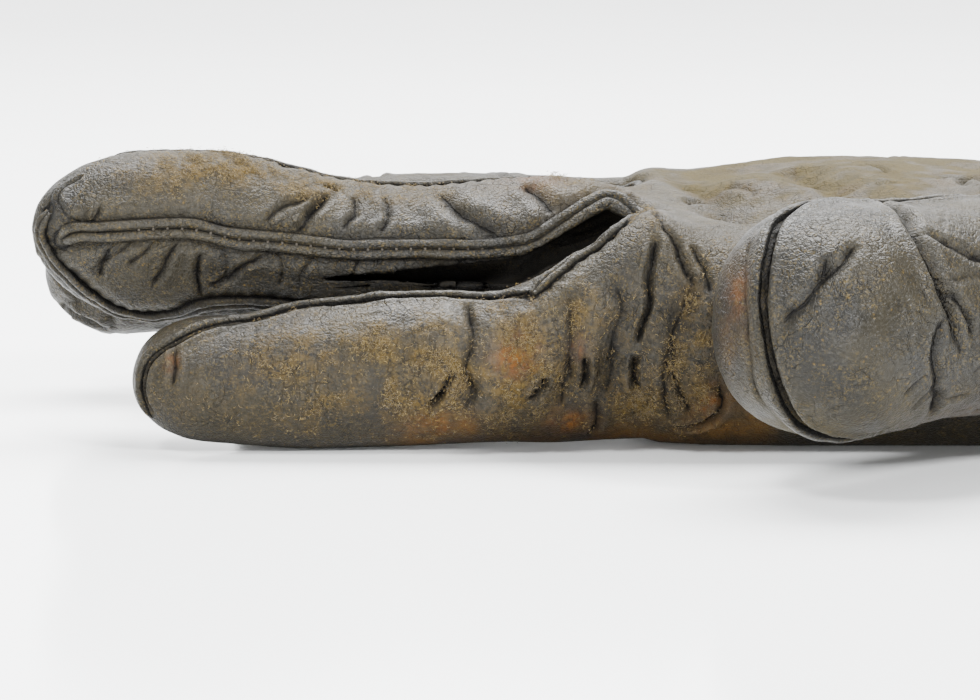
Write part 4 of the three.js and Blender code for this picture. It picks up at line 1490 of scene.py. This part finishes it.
def make_elastic():
    """The elastic band sewn under the back of the wrist, ribbed along its length."""
    low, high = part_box("wrist_elastic")
    start, end = np.array(low)[0] / MM - SHIFT[0], np.array(high)[0] / MM - SHIFT[0]
    angles = np.radians(np.linspace(-58, 58, ELASTIC_AROUND))
    along = np.linspace(start, end, ELASTIC_ROWS)
    rows = [HAND.point(-x, np.degrees(angles)) for x in along]
    places = np.stack(rows)
    flat, normals = settle(places.reshape(-1, 3), 3, ELASTIC_DEPTH)
    ribs = 0.12 * np.sin(np.repeat(along, ELASTIC_AROUND) * 2 * math.pi / 1.3)
    flat = flat + normals * ribs[:, None]
    quads = tube_faces(ELASTIC_ROWS, ELASTIC_AROUND)[:-2]
    faces = np.array([quad for quad in quads if quad[1] % ELASTIC_AROUND != 0])
    piece = thick_piece("wrist_elastic_band", "hand", faces, (flat, normals), 0.9, ["elastic"])
    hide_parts("wrist_elastic")


def make_fibres():
    parts = part_of(skin_points)
    for part, count, seed in (("index", 7400, 21), ("hand", 5000, 22), ("middle", 4600, 23)):
        chosen = np.flatnonzero((parts == part) & (skin.masks["nap"] > 0.05))
        clumps = 0.15 + smoothstep(-0.15, 0.4, noise(skin_points[chosen], 2.0, 19))
        weight = skin.masks["nap"][chosen] ** 1.4 * clumps * (1 - 0.5 * skin.masks["crease"][chosen])
        fibres(part + "_fibres", part, count, seed, chosen, weight)


make_panels()
make_welts()
make_stitches()
make_liner()
make_elastic()
make_binding()
make_fibres()

# ---------------------------------------------------------------- camera

# The view's width in millimetres at the target is the render's width over the photograph's scale.
VIEW_WIDTH = 980.0 / 6.4
SENSOR = 36.0


def make_camera():
    elevation = math.radians(8.0)
    distance, target = 620.0, np.array([-18.75, 0.0, 15.2])
    place = target + distance * np.array([0, -math.cos(elevation), math.sin(elevation)])
    data = bpy.data.cameras.new("camera")
    data.sensor_width = SENSOR
    data.lens = SENSOR * distance / VIEW_WIDTH
    data.clip_end = 20
    camera = bpy.data.objects.new("camera", data)
    camera.location = to_row(place)
    camera.rotation_euler = (math.radians(90) - elevation, 0, 0)
    bpy.context.scene.collection.objects.link(camera)
    bpy.context.scene.camera = camera


def make_floor():
    mesh = bpy.data.meshes.new("floor")
    size = 4.0
    corners = [(-size, -size, 0), (size, -size, 0), (size, size, 0), (-size, size, 0)]
    mesh.from_pydata(corners, [], [(0, 1, 2, 3)])
    mesh.materials.append(floor_material())
    floor = bpy.data.objects.new("floor", mesh)
    bpy.context.scene.collection.objects.link(floor)


def make_softbox(name, place, aim, size, power):
    """An area light at a place in the glove's frame that faces another one. Its size is in metres."""
    light = bpy.data.lights.new(name, "AREA")
    light.energy = power
    light.shape = "RECTANGLE"
    light.size, light.size_y = size
    lamp = bpy.data.objects.new(name, light)
    lamp.location = to_row(place)
    facing = Vector(to_row(aim) - to_row(place))
    lamp.rotation_euler = facing.to_track_quat("-Z", "Y").to_euler()
    bpy.context.scene.collection.objects.link(lamp)


def make_world():
    world = bpy.data.worlds.new("pale_room")
    world.use_nodes = True
    background = world.node_tree.nodes["Background"]
    background.inputs["Color"].default_value = (0.97, 0.985, 1.0, 1.0)
    background.inputs["Strength"].default_value = 1.35
    bpy.context.scene.world = world


make_camera()
make_floor()
make_softbox("overhead", (0, 450, 840), (0, 20, 0), (1.0, 0.6), 66.0)
make_softbox("left", (-420, -380, 850), (0, 0, 10), (0.25, 0.2), 15.0)
make_softbox("right", (640, -640, 560), (30, -30, 25), (0.2, 0.16), 30.0)
make_softbox("fill", (-150, -1300, 90), (0, 0, 12), (1.4, 0.16), 26.0)
make_softbox("backdrop", (0, 3000, 520), (0, 0, 520), (5.0, 0.95), 50.0)
make_world()
